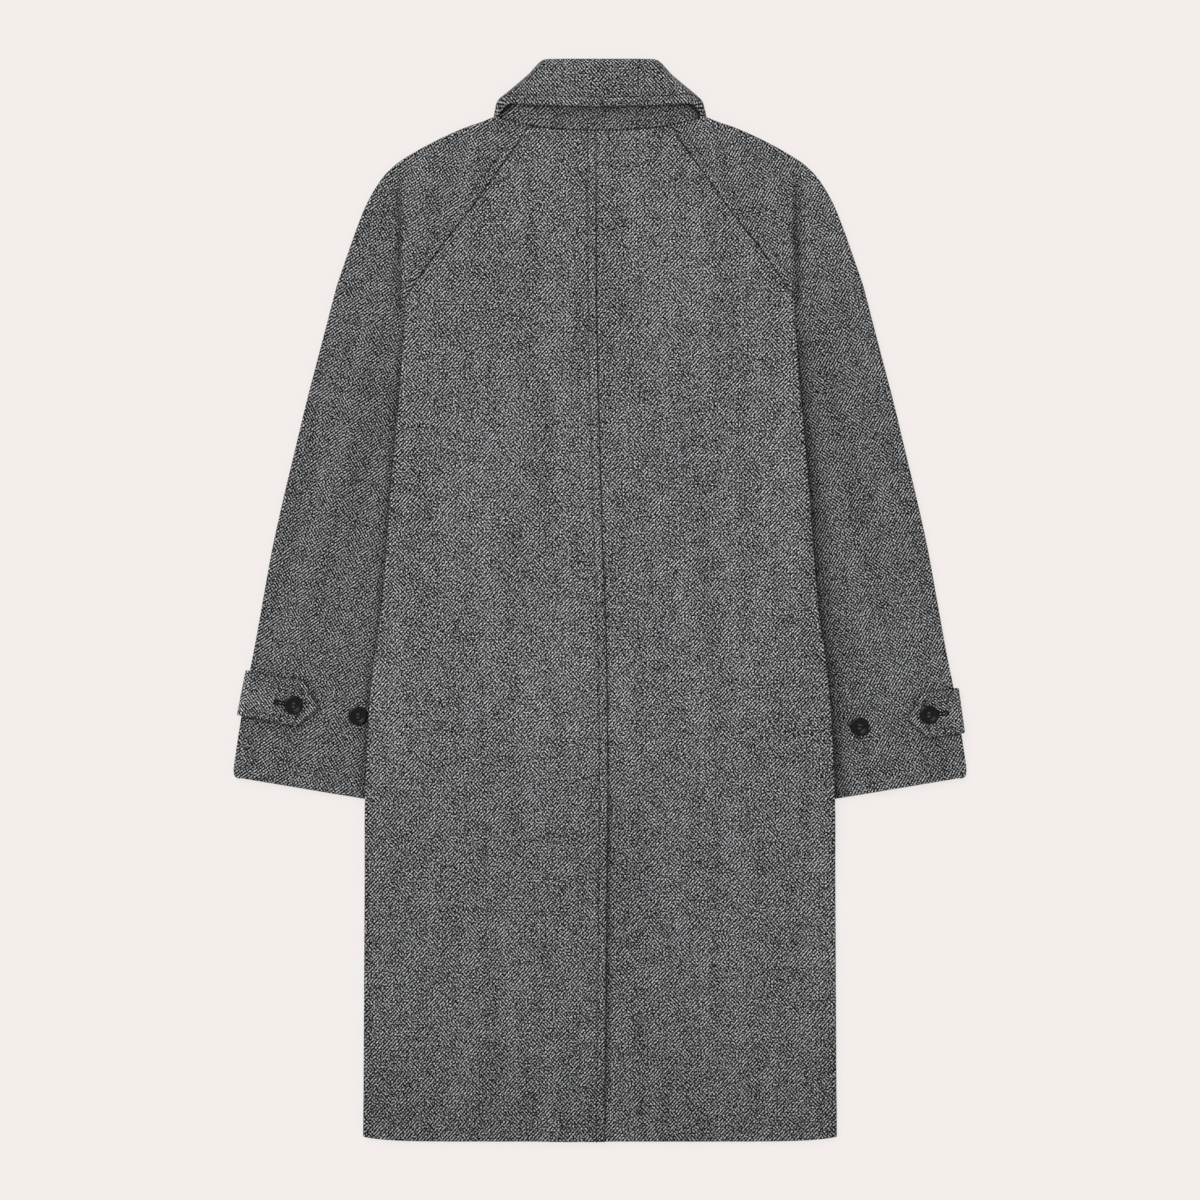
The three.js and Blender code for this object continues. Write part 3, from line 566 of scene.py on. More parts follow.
def fold_points(level, other, side, up, edge, inward, curl):
    """The last columns of each row, where the sheet bends over an edge towards the layer beyond it.

    edge and inward are the outline's points and the directions from them into the panel, and curl says
    how far the sheet bends. up is 1 for the layer on top and -1 for the one below.
    """
    edge, inward, curl = edge[:, None], inward[:, None], curl[:, None]
    probe = edge + FOLD_PROBE * inward
    gap = level(side, probe[..., 0], probe[..., 1]) - other(side, probe[..., 0], probe[..., 1])
    radius = np.abs(gap) / 2 - SEAM / 2
    inset = SEWN_GAP / 2 + (CLOTH / 2 - FOLD_OVERLAP) * np.sin(curl) ** LATE_IN_BEND
    turn = np.linspace(0, 1, FOLD_TURNS)[None]
    angle = curl * turn
    reach = inset + FLAT_REACH * (1 - turn) * np.cos(curl) + radius * (np.sin(curl) - np.sin(angle))
    place = edge + inward * reach[..., None]
    start = edge + inward * (inset + radius * np.sin(curl))[..., None]
    flat = level(side, place[..., 0], place[..., 1])
    base = np.where(curl > 0.01, level(side, start[..., 0], start[..., 1]), flat)
    z = mix(flat, base, np.sin(curl)) - up * radius * (1 - np.cos(angle))
    return np.dstack([place, z])


print("a fold turns in", FOLD_TURNS, "columns")


# %% Normals and lengths of a grid
def grid_normals(points):
    """The direction that each point of a grid faces."""
    across = np.gradient(points, axis=1)
    down = np.gradient(points, axis=0)
    normals = np.cross(down, across)
    return normals / np.maximum(np.linalg.norm(normals, axis=2, keepdims=True), 1e-9)


def grid_lengths(points, axis):
    """The distance of each point from the start of its row (axis 1) or column (axis 0)."""
    gaps = np.linalg.norm(np.diff(points, axis=axis), axis=2)
    zero = np.zeros_like(np.take(gaps, [0], axis=axis))
    return np.concatenate([zero, np.cumsum(gaps, axis=axis)], axis=axis)


def edge_distances(points):
    """How far each point lies from each of the four edges of its grid, measured along the grid's lines."""
    row, column = grid_lengths(points, 1), grid_lengths(points, 0)
    return np.stack([row, row[:, -1:] - row, column, column[-1:] - column])


print("a grid has", len(edge_distances(np.zeros((2, 2, 3)))), "edges")


# %% The weave over a rounded rim
def wrapped_pattern(ends, pattern, wall):
    """The pattern with the way over the rounded rim counted in, so that the weave runs round the edge."""
    inside = np.clip(ends.min(0) / wall, 0, 1)
    further = wall * (math.pi / 2 - 1 + inside - np.arccos(1 - inside))
    outward = [
        pattern[:, :1] - pattern[:, 2:3],
        pattern[:, -1:] - pattern[:, -3:-2],
        pattern[:1] - pattern[2:3],
        pattern[-1:] - pattern[-3:-2],
    ]
    outward = [way / np.maximum(np.linalg.norm(way, axis=2, keepdims=True), 1e-9) for way in outward]
    outward = np.stack([np.broadcast_to(way, pattern.shape) for way in outward])
    nearest = ends.argmin(0)[None, ..., None]
    return pattern + further[..., None] * np.take_along_axis(outward, nearest, 0)[0]


print("the weave runs", round(CLOTH / 2 * (math.pi / 2 - 1), 2), "mm further over a rim")

# %% Cloth shells
outer_faces = {}


def cloth_shell(name, points, facing, thickness, pattern, relief, pressed_and_shade):
    """One closed sheet of cloth round a grid of middle points, with rounded edges.

    facing is 1 or -1 for the side of the grid that the outer face of the cloth lies on. pattern holds the
    grid's places on the flat cloth before it was sewn, for the weave to follow, relief how far each point
    of the outer face stands out or in, and the last, from 0 to 1, how dark the wool is made: squeezed
    close in seams, and painted shade and shadow. What rests on the table is flattened by it.
    """
    normals = facing * grid_normals(points)
    ends = edge_distances(points)
    pattern = wrapped_pattern(ends, pattern, thickness / 2)
    rows, columns = points.shape[:2]
    inside = np.clip(ends.min(0) / (thickness / 2), 0, 1)
    half = thickness / 2 * np.sqrt(1 - (1 - inside) ** 2)
    proud = relief * ramp(0, 1, inside)
    outer = points + normals * (half + proud)[..., None]
    inner = points - normals * half[..., None]
    outer_faces[name] = (outer, normals)
    rim = np.zeros((rows, columns), bool)
    rim[[0, -1]] = rim[:, [0, -1]] = True
    outer_index = np.arange(rows * columns).reshape(rows, columns)
    inner_index = outer_index.copy()
    inner_index[~rim] = rows * columns + np.arange((~rim).sum())
    vertices = np.vstack([outer.reshape(-1, 3), inner[~rim]]) * MM
    vertices[:, 2] = np.maximum(vertices[:, 2], 0)
    places = np.vstack([pattern.reshape(-1, 2), pattern[~rim]]) * MM
    dark = np.concatenate([pressed_and_shade.ravel(), pressed_and_shade[~rim]])

    def quads(index, turned):
        corners = [index[:-1, :-1], index[1:, :-1], index[1:, 1:], index[:-1, 1:]]
        return np.stack(corners[::-1] if turned else corners, -1).reshape(-1, 4)

    faces = np.vstack([quads(outer_index, False), quads(inner_index, True)])
    mesh = bpy.data.meshes.new(name)
    mesh.from_pydata(vertices.tolist(), [], faces.tolist())
    uv = mesh.uv_layers.new(name="UVMap")
    loops = np.empty(len(mesh.loops), int)
    mesh.loops.foreach_get("vertex_index", loops)
    uv.data.foreach_set("uv", places[loops].ravel())
    mesh.attributes.new("pressed_and_shade", "FLOAT", "POINT").data.foreach_set("value", dark)
    mesh.polygons.foreach_set("use_smooth", np.ones(len(faces), bool))
    mesh.materials.append(tweed)
    turn_outwards(mesh)
    obj = bpy.data.objects.new(name, mesh)
    scene.collection.objects.link(obj)
    return obj


def turn_outwards(mesh):
    """Turns every face of a closed mesh round if the mesh is inside out."""
    work = bmesh.new()
    work.from_mesh(mesh)
    if work.calc_volume(signed=True) < 0:
        bmesh.ops.reverse_faces(work, faces=work.faces)
    work.to_mesh(mesh)
    work.free()


def dress(obj, node):
    """Hides the node's own part and hangs the finished cloth, made in that node's place, on the root."""
    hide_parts(node)
    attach(obj, "root")


print("a wall of cloth is", CLOTH, "mm")

# %% [markdown]
# ## Stitching lines pressed into the cloth
# Topstitching pulls thick wool down into a fine channel, and the cloth between the channel and the seam
# stands up a little, because the seam allowance lies folded inside. This relief is what makes a seam read
# from a distance. It needs only the distance of each point from the seam.

# %% Relief of a topstitched seam
STITCH_INSET = 8.9
CHANNEL_DEPTH, CHANNEL_WIDTH = 0.55, 1.1
PUFF_HEIGHT = 0.35
PUCKER_HEIGHT = 0.16
PUCKER_WAVES = [(3.7, 0), (5.9, 1.3), (9.1, 4)]


def distance_to(line, x, y):
    """Distance of each place from a line of points, and how far along the line its nearest point is."""
    start, step = line[:-1], np.diff(line, axis=0)
    size = np.linalg.norm(step, axis=1)
    reached = np.concatenate([[0], np.cumsum(size)])[:-1]
    place = np.stack([np.ravel(x), np.ravel(y)], -1)[:, None] - start[None]
    share = np.clip((place * step).sum(2) / (size * size), 0, 1)
    away = np.linalg.norm(place - share[..., None] * step, axis=2)
    nearest = away.argmin(1)
    index = np.arange(len(away)), nearest
    run = reached[nearest] + share[index] * size[nearest]
    return away[index].reshape(np.shape(x)), run.reshape(np.shape(x))


def stitched_relief(away, run, inset=STITCH_INSET, puff=1):
    """Height of the cloth beside a seam: the stitching's channel and, where puff is 1, a soft roll.

    The roll puckers a little. Where the cloth rests on the table it can't stand out, so puff is 0.
    """
    roll = PUFF_HEIGHT * np.sin(math.pi * np.clip(away / inset, 0, 1)) ** 2
    channel = -CHANNEL_DEPTH * np.exp(-(((away - inset) / CHANNEL_WIDTH) ** 2))
    ripple = sum(np.sin(run / long + start) for long, start in PUCKER_WAVES)
    puckers = PUCKER_HEIGHT * ripple * np.exp(-(((away - 0.6 * inset) / inset) ** 2))
    return channel + puff * (roll + puckers)


seam_lines = {}
SEAM_DARK, SEAM_REACH = 0.85, 0.95
STITCH_DARK, STITCH_REACH = 0.5, 1.0


def seam_press_and_shade(to_seam, to_stitches=None):
    """The darkness in a seam and, a little less, under its stitching: squeezed wool and painted groove shade.
    """
    seam = SEAM_DARK * np.exp(-((to_seam / SEAM_REACH) ** 2))
    if to_stitches is None:
        return seam
    return np.maximum(seam, STITCH_DARK * np.exp(-((to_stitches / STITCH_REACH) ** 2)))


print("topstitching runs", STITCH_INSET, "mm from the seam")

# %% [markdown]
# ## Shades and the fold over the cap
# Shade is painted into the wool's colour where less light reaches it: towards the hem, on the sleeves,
# beside the body's edge, under the vent and round the tabs. Each painted shade is a depth from 0 to 1, and
# each pair of places says where it starts and where it is full. The fold that continues the body's side
# over the sleeve's cap also has a slight step.

# %% Shades
HEM_SHADES = [(0.12, -60, -330), (0.13, -400, HEM_Y)]
# The fold over the cap: where it lies on each sleeve, and how it fades at its top and its bottom.
CAP_FOLD_X = {-1: 207.4, 1: 202.4}
CAP_FOLD_TOP, CAP_FOLD_BOTTOM = (468, 410), (UNDERARM_Y - 30, UNDERARM_Y)
CAP_STEP, CAP_STEP_BOTTOM = 1.3, (UNDERARM_Y + 16, UNDERARM_Y + 44)
RAISED_OUTSIDE, RAISED_INSIDE = (1.5, -2), (-34, -6)
SUNK_OUTSIDE, SUNK_INSIDE, SUNK_SHARE = (18, 3), (0, 3), 0.5
# The sleeves: their shade everywhere, outside the fold below the shoulder, and in the fold itself.
SLEEVE_SHADE, LOWER_SHADE, FOLD_SHADE = 0.08, 0.09, 0.52
LOWER_SPAN_Y, LOWER_SPAN_X = (400, 200), (-2, 4)
FOLD_SHADE_OUTSIDE, FOLD_SHADE_INSIDE = (13, 3), (-0.6, 0.8)
# Beside the body's edge: how far the shade reaches over each sleeve, and how deep it is.
EDGE_SHADES = {-1: (11, 0.42), 1: (24, 0.5)}
VENT_SHADE, VENT_SHADE_X = 0.55, (10, 0)
VENT_SHADE_TOP, VENT_SHADE_BOTTOM = (VENT_TOP_Y, -215), (HEM_Y, -470)
TAB_SHADE, TAB_SHADE_BELOW, BELOW_TAB = 0.26, 0.34, (-14, -22)
TAB_SHADE_REACH, TAB_SHADE_END = 3.2, 30


def hem_shade(y):
    """Painted shade: the wool a little darker towards the hem, where less light falls."""
    return sum(depth * ramp(start, end, y) for depth, start, end in HEM_SHADES)


def cap_fold(y):
    """Where the fold that continues the body's side runs up over the sleeve's cap."""
    return ramp(*CAP_FOLD_TOP, y) * ramp(*CAP_FOLD_BOTTOM, y)


def cap_relief(side, x, y):
    """The sleeve stands up inside that fold and sinks outside it, down to just above the underarm."""
    outside = x - CAP_FOLD_X[side]
    raised = ramp(*RAISED_OUTSIDE, outside) * ramp(*RAISED_INSIDE, outside)
    sunk = ramp(*SUNK_OUTSIDE, outside) * ramp(*SUNK_INSIDE, outside)
    return CAP_STEP * cap_fold(y) * ramp(*CAP_STEP_BOTTOM, y) * (raised - SUNK_SHARE * sunk)


def sleeve_shade(side, x, y):
    """Painted shade: the sleeves a little darker than the body, most of all in the body edge's shadow."""
    reach, depth = EDGE_SHADES[side]
    beside = ramp(reach, 0, x - body_edge(y)) * parted(y)
    outside = x - CAP_FOLD_X[side]
    lower = ramp(*LOWER_SPAN_Y, y) * ramp(*LOWER_SPAN_X, outside)
    fold = ramp(*FOLD_SHADE_OUTSIDE, outside) * ramp(*FOLD_SHADE_INSIDE, outside) * cap_fold(y)
    return SLEEVE_SHADE + LOWER_SHADE * lower + depth * beside + FOLD_SHADE * fold


def vent_shade(x, y):
    """Painted shadow of the vent's edge on the underlap."""
    beside = ramp(*VENT_SHADE_X, x - centre_back(y))
    return VENT_SHADE * beside * ramp(*VENT_SHADE_TOP, y) * ramp(*VENT_SHADE_BOTTOM, y)


def tab_shade(side, x, y):
    """The painted shadow that a cuff tab throws on the sleeve, deepest below it."""
    tab = TABS[side]
    away = distance_to(tab_line(tab, 0), x, y)[0]
    slope = math.radians(tab["slope"])
    below = ramp(*BELOW_TAB, (y - tab["y"]) * math.cos(slope) - (x - tab["x"]) * math.sin(slope))
    return (TAB_SHADE + TAB_SHADE_BELOW * below) * np.exp(-away / TAB_SHADE_REACH) * (away < TAB_SHADE_END)


print("the hem is darkened by", round(float(hem_shade(HEM_Y)), 2))

# %% Small creases that only the outer face shows: x, y, half length, half width, height, lean
CREASES = [
    (-36, 330, 120, 9, 0.35, 2),
    (-58, 60, 160, 12, -0.4, 1),
    (-150, 60, 170, 13, 0.45, 2),
    (-170, -150, 130, 12, -0.45, -3),
    (-40, -300, 120, 10, 0.3, 1),
    (-190, -430, 110, 12, -0.5, 1),
    (-110, -480, 70, 9, 0.35, -4),
    (135, 330, 90, 11, -0.6, -2),
    (62, 120, 150, 12, 0.4, -1),
    (165, 40, 190, 14, -0.5, -3),
    (120, -200, 140, 12, 0.4, 2),
    (200, -330, 150, 12, -0.5, -1),
    (60, -420, 110, 10, 0.35, 2),
    (-290, 60, 120, 12, 0.5, -12),
    (-318, -30, 90, 9, -0.4, -10),
    (-236, 330, 60, 10, -0.4, -20),
    (300, 20, 130, 12, 0.5, 12),
    (268, -60, 80, 9, -0.4, 9),
    (238, 350, 60, 10, -0.4, 22),
    (-27.6, -193, 4, 3.5, -0.7, 60),
    (51, -181, 9, 3, -0.6, -70),
]
CREASE_END = (1, 0.2)
HEM_DEPTH, HEM_STEP = 40, 0.3
HEM_STEP_Y = (HEM_Y + HEM_DEPTH + 3, HEM_Y + HEM_DEPTH - 2)


def creases(x, y):
    """The height of the small creases, each a soft bell across."""
    found = folds_at(CREASES, x, y)
    return sum(high * np.exp(-2 * across**2) * ramp(*CREASE_END, length) for high, across, length in found)


def hem_relief(y):
    """The cloth turned up inside the hem shows as a slight step."""
    return HEM_STEP * ramp(*HEM_STEP_Y, y)


print("small creases:", len(CREASES))


# %% [markdown]
# ## The backs and the fronts
# Each half of the coat's body is one panel, from the centre seam or the front edge out to the raglan seam
# and the side. The left back laps over the right back below the top of the vent, so the right back has an
# underlap there. At its side the sheet bends down to meet the front, which bends up.

# %% Rows of a body panel
SHOULDER_ROWS = 60
BODY_ROWS = 112
BACK_COLUMNS, FRONT_COLUMNS = 26, 20
# The sheets begin to bend down or up at this share of the raglan seam.
CURL_SPAN = (0.8, 1)
# The corners of the hem turn up a little, and only close to the side.
HEM_TURN_UP, HEM_TURN_Y, CORNER_POWER = 5, (-440, HEM_Y), 10
SLANT_ENDS = 2
CENTRE_COLUMNS = EDGE_STEPS + STITCH_STEPS + [30, 38, 42, 46, 56]
SIDE_COLUMNS = [0, 0.6, 1.6, 3, 5, 8, 13]


def body_rows(seam):
    """Shares along the raglan seam, and heights below the underarm down to the hem."""
    near = np.array(EDGE_STEPS) / seam.length
    shares = np.concatenate([near, np.linspace(near[-1], 1, SHOULDER_ROWS)[1:]])
    heights = np.linspace(UNDERARM_Y, HEM_Y + EDGE_STEPS[-1], BODY_ROWS)[1:]
    slant_end = VENT_TOP_Y - UNDERLAP_SLANT
    slant = [VENT_TOP_Y, VENT_TOP_Y - SLANT_ENDS, slant_end + SLANT_ENDS, slant_end]
    heights = np.sort(np.concatenate([heights, slant, HEM_Y + np.array(EDGE_STEPS[:-1])]))[::-1]
    return shares, heights


def body_panel(level, other, side, up, seam, neck_y, centre_x, middle):
    """The middle points of a body panel, with X from the centre of the coat, and their pattern places."""
    shares, heights = body_rows(seam)
    edge, direction = seam(shares)
    inward = np.stack([direction[:, 1], -direction[:, 0]], -1)
    side_edge = np.stack([body_edge(heights), heights], -1)
    edge = np.vstack([edge, side_edge])
    inward = np.vstack([inward, np.tile([-1.0, 0.0], (len(heights), 1))])
    curl = np.concatenate([math.pi / 2 * ramp(*CURL_SPAN, shares), np.full(len(heights), math.pi / 2)])
    fold = fold_points(level, other, side, up, edge, inward, curl)
    centre_y = np.concatenate([mix(neck_y, UNDERARM_Y, shares), heights])
    start = centre_x(centre_y)
    last = fold[:, :1]
    columns = spread(steps(CENTRE_COLUMNS, SIDE_COLUMNS, middle), last[:, 0, 0] - start)[:, :-1]
    x = start[:, None] + columns
    bowed = np.maximum(x / last[..., 0], 0) ** 2
    straight = columns / (last[:, :, 0] - start[:, None])
    upper = (np.arange(len(edge)) < len(shares))[:, None]
    y = mix(centre_y[:, None], last[..., 1], np.where(upper, bowed, straight))
    points = np.concatenate([np.dstack([x, y, level(side, x, y)]), fold], axis=1)
    corner = (np.abs(points[..., 0]) / BODY_EDGE[-1][0]) ** CORNER_POWER
    points[..., 1] += HEM_TURN_UP * ramp(*HEM_TURN_Y, points[..., 1]) * corner
    excess = grid_lengths(points, 1) - grid_lengths(points * [1, 1, 0], 1)
    pattern = np.dstack([points[..., 0] + excess, points[..., 1]])
    return points, pattern


print("rows of a back:", len(body_rows(raglan_back)[0]) + len(body_rows(raglan_back)[1]))

# %% Backs
raglan_shares = np.linspace(0, 1, 90)
line_heights = np.linspace(NECK_BACK_Y + 4, HEM_Y, 240)
centre_line = np.stack([centre_back(line_heights), line_heights], -1)
# The seam's dark line, partly painted shade, is less dark in the closed seam than at the vent's edge,
# where the painted shadow of the lapped edge also makes it wider.
CLOSED_LIGHTER, CLOSED_SPAN = 0.2, (VENT_TOP_Y, VENT_TOP_Y + 40)
EDGE_WIDER, EDGE_REACH, EDGE_SPAN = 0.7, 4, (VENT_TOP_Y - 20, VENT_TOP_Y)
UNDERLAP_SMOOTH = (-2, 3)


def mirrored(grid, side):
    """The grid for the right side of the coat as it is, or turned over for the left."""
    return grid * [side, 1, 1] if grid.shape[2] == 3 else grid * [side, 1]


def underlap(y):
    """How far the underlap reaches past the centre seam."""
    return UNDERLAP_WIDTH * np.clip((VENT_TOP_Y - y) / UNDERLAP_SLANT, 0, 1)


for word, side in (("left", -1), ("right", 1)):

    def back_start(y):
        return side * centre_back(y) + SEWN_GAP / 2 - (underlap(y) if side > 0 else 0)

    points, pattern = body_panel(
        back_level, front_level, side, 1, raglan_back, NECK_BACK_Y, back_start, BACK_COLUMNS
    )
    points = mirrored(points, side)
    x, y = points[..., 0], points[..., 1]
    away, run = distance_to(centre_line, x, y)
    relief = creases(x, y) + hem_relief(y)
    to_raglan = distance_to(raglan_back(raglan_shares)[0] * [side, 1], x, y)[0]
    pressed_and_shade = seam_press_and_shade(np.minimum(away, to_raglan))
    name = f"cloth_back_{word}"
    if side < 0:
        relief = relief + stitched_relief(away, run)
        depth = 1 - CLOSED_LIGHTER * ramp(*CLOSED_SPAN, y)
        wider = np.where(away < EDGE_REACH, mix(EDGE_WIDER, 1, ramp(*EDGE_SPAN, y)), 1)
        pressed_and_shade = np.maximum(seam_press_and_shade(to_raglan), depth * seam_press_and_shade(away * wider, away - STITCH_INSET))
        seam_lines[name] = (away, range(len(away)), STITCH_INSET)
    else:
        relief = relief * ramp(*UNDERLAP_SMOOTH, x - centre_back(y))
        # Painted shadow of the vent's edge on the underlap.
        pressed_and_shade = np.maximum(pressed_and_shade, vent_shade(x, y))
    # Painted shade towards the hem.
    pressed_and_shade = np.maximum(pressed_and_shade, hem_shade(y))
    shell = cloth_shell(name, points, side, CLOTH, mirrored(pattern, side), relief, pressed_and_shade)
    dress(shell, f"back_{word}")

# %% Fronts
LINE_BEYOND = 20
for word, side in (("left", -1), ("right", 1)):
    stand = STAND_LEFT if side < 0 else STAND_RIGHT
    points, pattern = body_panel(
        front_level,
        back_level,
        side,
        -1,
        raglan_front,
        NECK_FRONT_Y,
        lambda y: np.full(np.shape(y), -float(stand)),
        FRONT_COLUMNS,
    )
    points = mirrored(points, side)
    ends = NECK_FRONT_Y + LINE_BEYOND, HEM_Y - LINE_BEYOND
    front_edge = np.array([(-side * stand, end_y) for end_y in ends], float)
    away, run = distance_to(front_edge, points[..., 0], points[..., 1])
    relief = stitched_relief(away, run, puff=0)
    to_raglan = distance_to(raglan_front(raglan_shares)[0] * [side, 1], points[..., 0], points[..., 1])[0]
    pressed_and_shade = seam_press_and_shade(to_raglan, away - STITCH_INSET)
    name = f"cloth_front_{word}"
    if side < 0:
        seam_lines[name] = (away, range(len(away)), STITCH_INSET)
    shell = cloth_shell(name, points, -side, CLOTH, mirrored(pattern, side), relief, pressed_and_shade)
    dress(shell, f"front_{word}")


# %% [markdown]
# ## The sleeves
# A raglan sleeve runs up to the neck in one piece, so its rows go from the raglan seam to the top of the
# shoulder, and below the underarm from the inner fold to the outer one. The grain of the cloth runs down
# the sleeve, so the weave leans with it.

# %% Sleeve halves
SLEEVE_TOP_ROWS = 56
SLEEVE_ROWS = 92
TAB_ROWS = 34
TAB_STRETCH = (0.64, 0.86)
SLEEVE_LEAN = math.radians(12.7)
OUTER_COLUMNS = [0, 0.7, 2, 4, 8]
SLEEVE_WEAVE = 1.045
CUFF_CORNER = 18
BACK_HALF_COLUMNS, FRONT_HALF_COLUMNS = 70, 24
GRAIN_ALONG, GRAIN_ACROSS = math.cos(SLEEVE_LEAN), math.sin(SLEEVE_LEAN)
GRAIN_TURN = np.array([[GRAIN_ALONG, -GRAIN_ACROSS], [GRAIN_ACROSS, GRAIN_ALONG]])
# The raglan seam's channel, its dark line and its stitching run out near the underarm.
CHANNEL_END, DARK_END = (UNDERARM_Y - 2, UNDERARM_Y + 12), (UNDERARM_Y - 12, UNDERARM_Y + 4)
STITCHES_END, STITCH_SHADE_SPAN = UNDERARM_Y + 9, (340, 500)


def sleeve_panel(level, other, side, up, seam):
    """The middle points of a sleeve half, and their pattern places."""
    neck = np.array(EDGE_STEPS) / seam.length
    cuff = np.array(EDGE_STEPS) / arm.length
    upper = np.concatenate([neck, np.linspace(neck[-1], 1, SLEEVE_TOP_ROWS)[1:]])
    lower = np.concatenate([np.linspace(0, 1 - cuff[-1], SLEEVE_ROWS)[1:], 1 - cuff[-2::-1]])
    if up > 0:
        lower = np.sort(np.concatenate([lower, np.linspace(*TAB_STRETCH, TAB_ROWS)]))
    (inner_up, along_up), (inner_low, along_low) = seam(upper), inner_fold(lower)
    (outer_up, outer_along_up), outer_low = shoulder(upper), arm(lower)[0]
    outer_along_low = arm(np.minimum(lower, 1 - CUFF_CORNER / arm.length))[1]
    inner, inner_along = np.vstack([inner_up, inner_low]), np.vstack([along_up, along_low])
    outer, outer_along = np.vstack([outer_up, outer_low]), np.vstack([outer_along_up, outer_along_low])
    curl = np.concatenate([math.pi / 2 * ramp(*CURL_SPAN, upper), np.full(len(lower), math.pi / 2)])
    outer_inward = np.stack([outer_along[:, 1], -outer_along[:, 0]], -1)
    fold = fold_points(level, other, side, up, outer, outer_inward, np.full(len(inner), math.pi / 2))
    straight = fold[:, 0, :2] - inner
    straight = straight / np.linalg.norm(straight, axis=1, keepdims=True)
    seam_inward = np.stack([-inner_along[:, 1], inner_along[:, 0]], -1)
    inner_inward = mix(straight, seam_inward, np.sin(curl)[:, None])
    inner_inward = inner_inward / np.linalg.norm(inner_inward, axis=1, keepdims=True)
    bend = fold_points(level, other, side, up, inner, inner_inward, curl)[:, ::-1]
    first, last = bend[:, -1, :2], fold[:, 0, :2]
    width = np.linalg.norm(last - first, axis=1)
    near = [0.0] + [step for step in EDGE_STEPS + STITCH_STEPS if step > FLAT_REACH]
    middle = BACK_HALF_COLUMNS if up > 0 else FRONT_HALF_COLUMNS
    share = spread(steps(near, OUTER_COLUMNS, middle), width)[:, 1:-1] / width[:, None]
    plan = mix(first[:, None], last[:, None], share[..., None])
    z = level(side, plan[..., 0], plan[..., 1])
    points = np.concatenate([bend, np.dstack([plan, z]), fold], axis=1)
    run = grid_lengths(points, 1)
    flat_run = grid_lengths(points * [1, 1, 0], 1)
    middle = points.shape[1] // 2
    excess = (run - flat_run) - (run - flat_run)[:, middle : middle + 1]
    pattern = points[..., :2] @ GRAIN_TURN
    pattern[..., 0] += excess
    return points, pattern


for word, side in (("left", -1), ("right", 1)):
    for half, level, other, up, seam in (
        ("front", sleeve_front_level, sleeve_back_level, -1, raglan_front),
        ("back", sleeve_back_level, sleeve_front_level, 1, raglan_back),
    ):
        points, pattern = sleeve_panel(level, other, side, up, seam)
        points = mirrored(points, side)
        x, y = points[..., 0], points[..., 1]
        away, run = distance_to(seam(raglan_shares)[0] * [side, 1], x, y)
        relief = stitched_relief(away, run, puff=int(up > 0)) * ramp(*CHANNEL_END, y)
        if up > 0:
            relief = relief + creases(x, y) * (1 - under_tab(side, side * x, y))
            relief = relief + cap_relief(side, side * x, y)
        name = f"cloth_sleeve_{half}_{word}"
        seam_lines[name] = (away, [i for i in range(len(y)) if y[i, 0] > STITCHES_END], STITCH_INSET)
        # Seam and stitching lines, partly painted groove shade, then painted shade on the sleeve and the
        # tab's painted shadow.
        pressed_and_shade = seam_press_and_shade(away, (away - STITCH_INSET) / ramp(*STITCH_SHADE_SPAN, y)) * ramp(*DARK_END, y)
        pressed_and_shade = np.maximum(pressed_and_shade, sleeve_shade(side, side * x, y) + tab_shade(side, side * x, y))
        fine = mirrored(pattern, side) * SLEEVE_WEAVE
        shell = cloth_shell(name, points, side * up, CLOTH, fine, relief, pressed_and_shade)
        dress(shell, f"sleeve_{half}_{word}")


# %% [markdown]
# ## The collar
# The collar is one folded leaf: a stand that rises from the neck seam, a roll, and a fall that comes back
# down over it. Behind the neck the fall lies on top, and at the fronts the whole collar lies underneath,
# so it turns over at each side of the neck. Stations round the neck give the shape, and the surface runs
# smoothly through them.

# %% Collar stations: neck edge, fold, turn, share under the fronts, roll, outer edge, bow of the fall
COLLAR = [
    ((0, 493.1), (0, 567.4, 2), 0, 0, 2.1, (0, 517.7, 11.3), None),
    ((37, 494.5), (33, 567.4, 2), 0, 0, 2.1, (36, 518.6, 11.3), None),
    ((58, 496.5), (56.5, 567, 2.2), 0, 0, 2.1, (62, 519.3, 11.3), None),
    ((75, 499), (75, 550.2, 3.6), 4, 0, 2.1, (80, 520, 11.4), None),
    ((89, 502), (90.5, 536.2, 5.6), 14, 0, 2.1, (93, 520.8, 11.8), None),
    ((97, 504), (98, 529.3, 6), 32, 0.1, 2.1, (99.5, 517.8, 11.4), (103, 523, 11.8)),
    ((101.5, 506), (101.6, 525.8, 5.8), 58, 0.35, 2, (104.3, 511.8, 9.8), (108.4, 518.8, 10.4)),
    ((104.2, 509.4), (103, 523, 5.3), 92, 0.55, 1.9, (108, 507, 6.2), (110.3, 514.7, 6.4)),
    ((103.2, 507.4), (103, 519.6, 4.6), 130, 0.8, 1.7, (110, 504.4, 2.8), (110.6, 512.5, 2.9)),
    ((101, 502.5), (102.4, 514.4, 0), 180, 1, 0, (112.4, 502, 1.6), None),
    ((95.4, 487), (90, 500, 0), 180, 1, 0, (117.5, 484, 1.6), None),
    ((87.2, 469), (77, 481.5, 0), 180, 1, 0, (116, 455, 1.6), None),
    ((71, 451), (61, 461, 0), 180, 1, 0, (104.5, 424, 1.6), None),
    ((51, 435.6), (44, 446, 0), 180, 1, 0, (87, 400, 1.6), None),
    ((27, 422), (24, 436, 0), 180, 1, 0, (69, 382, 1.6), None),
    ((3, 416.4), (3, 432, 0), 180, 1, 0, (50, 371, 1.6), None),
]
HIGHEST_FRONT_STAND = BACK_LEVEL + NECK_RISE - CLOTH / 2 - COLLAR_LEAF / 2 - SEAM
STAND_COLUMNS, FALL_MIDDLE_COLUMNS = 6, 6
ROLL_TURNS = np.linspace(0, math.pi, 13)
FALL_COLUMNS = 20
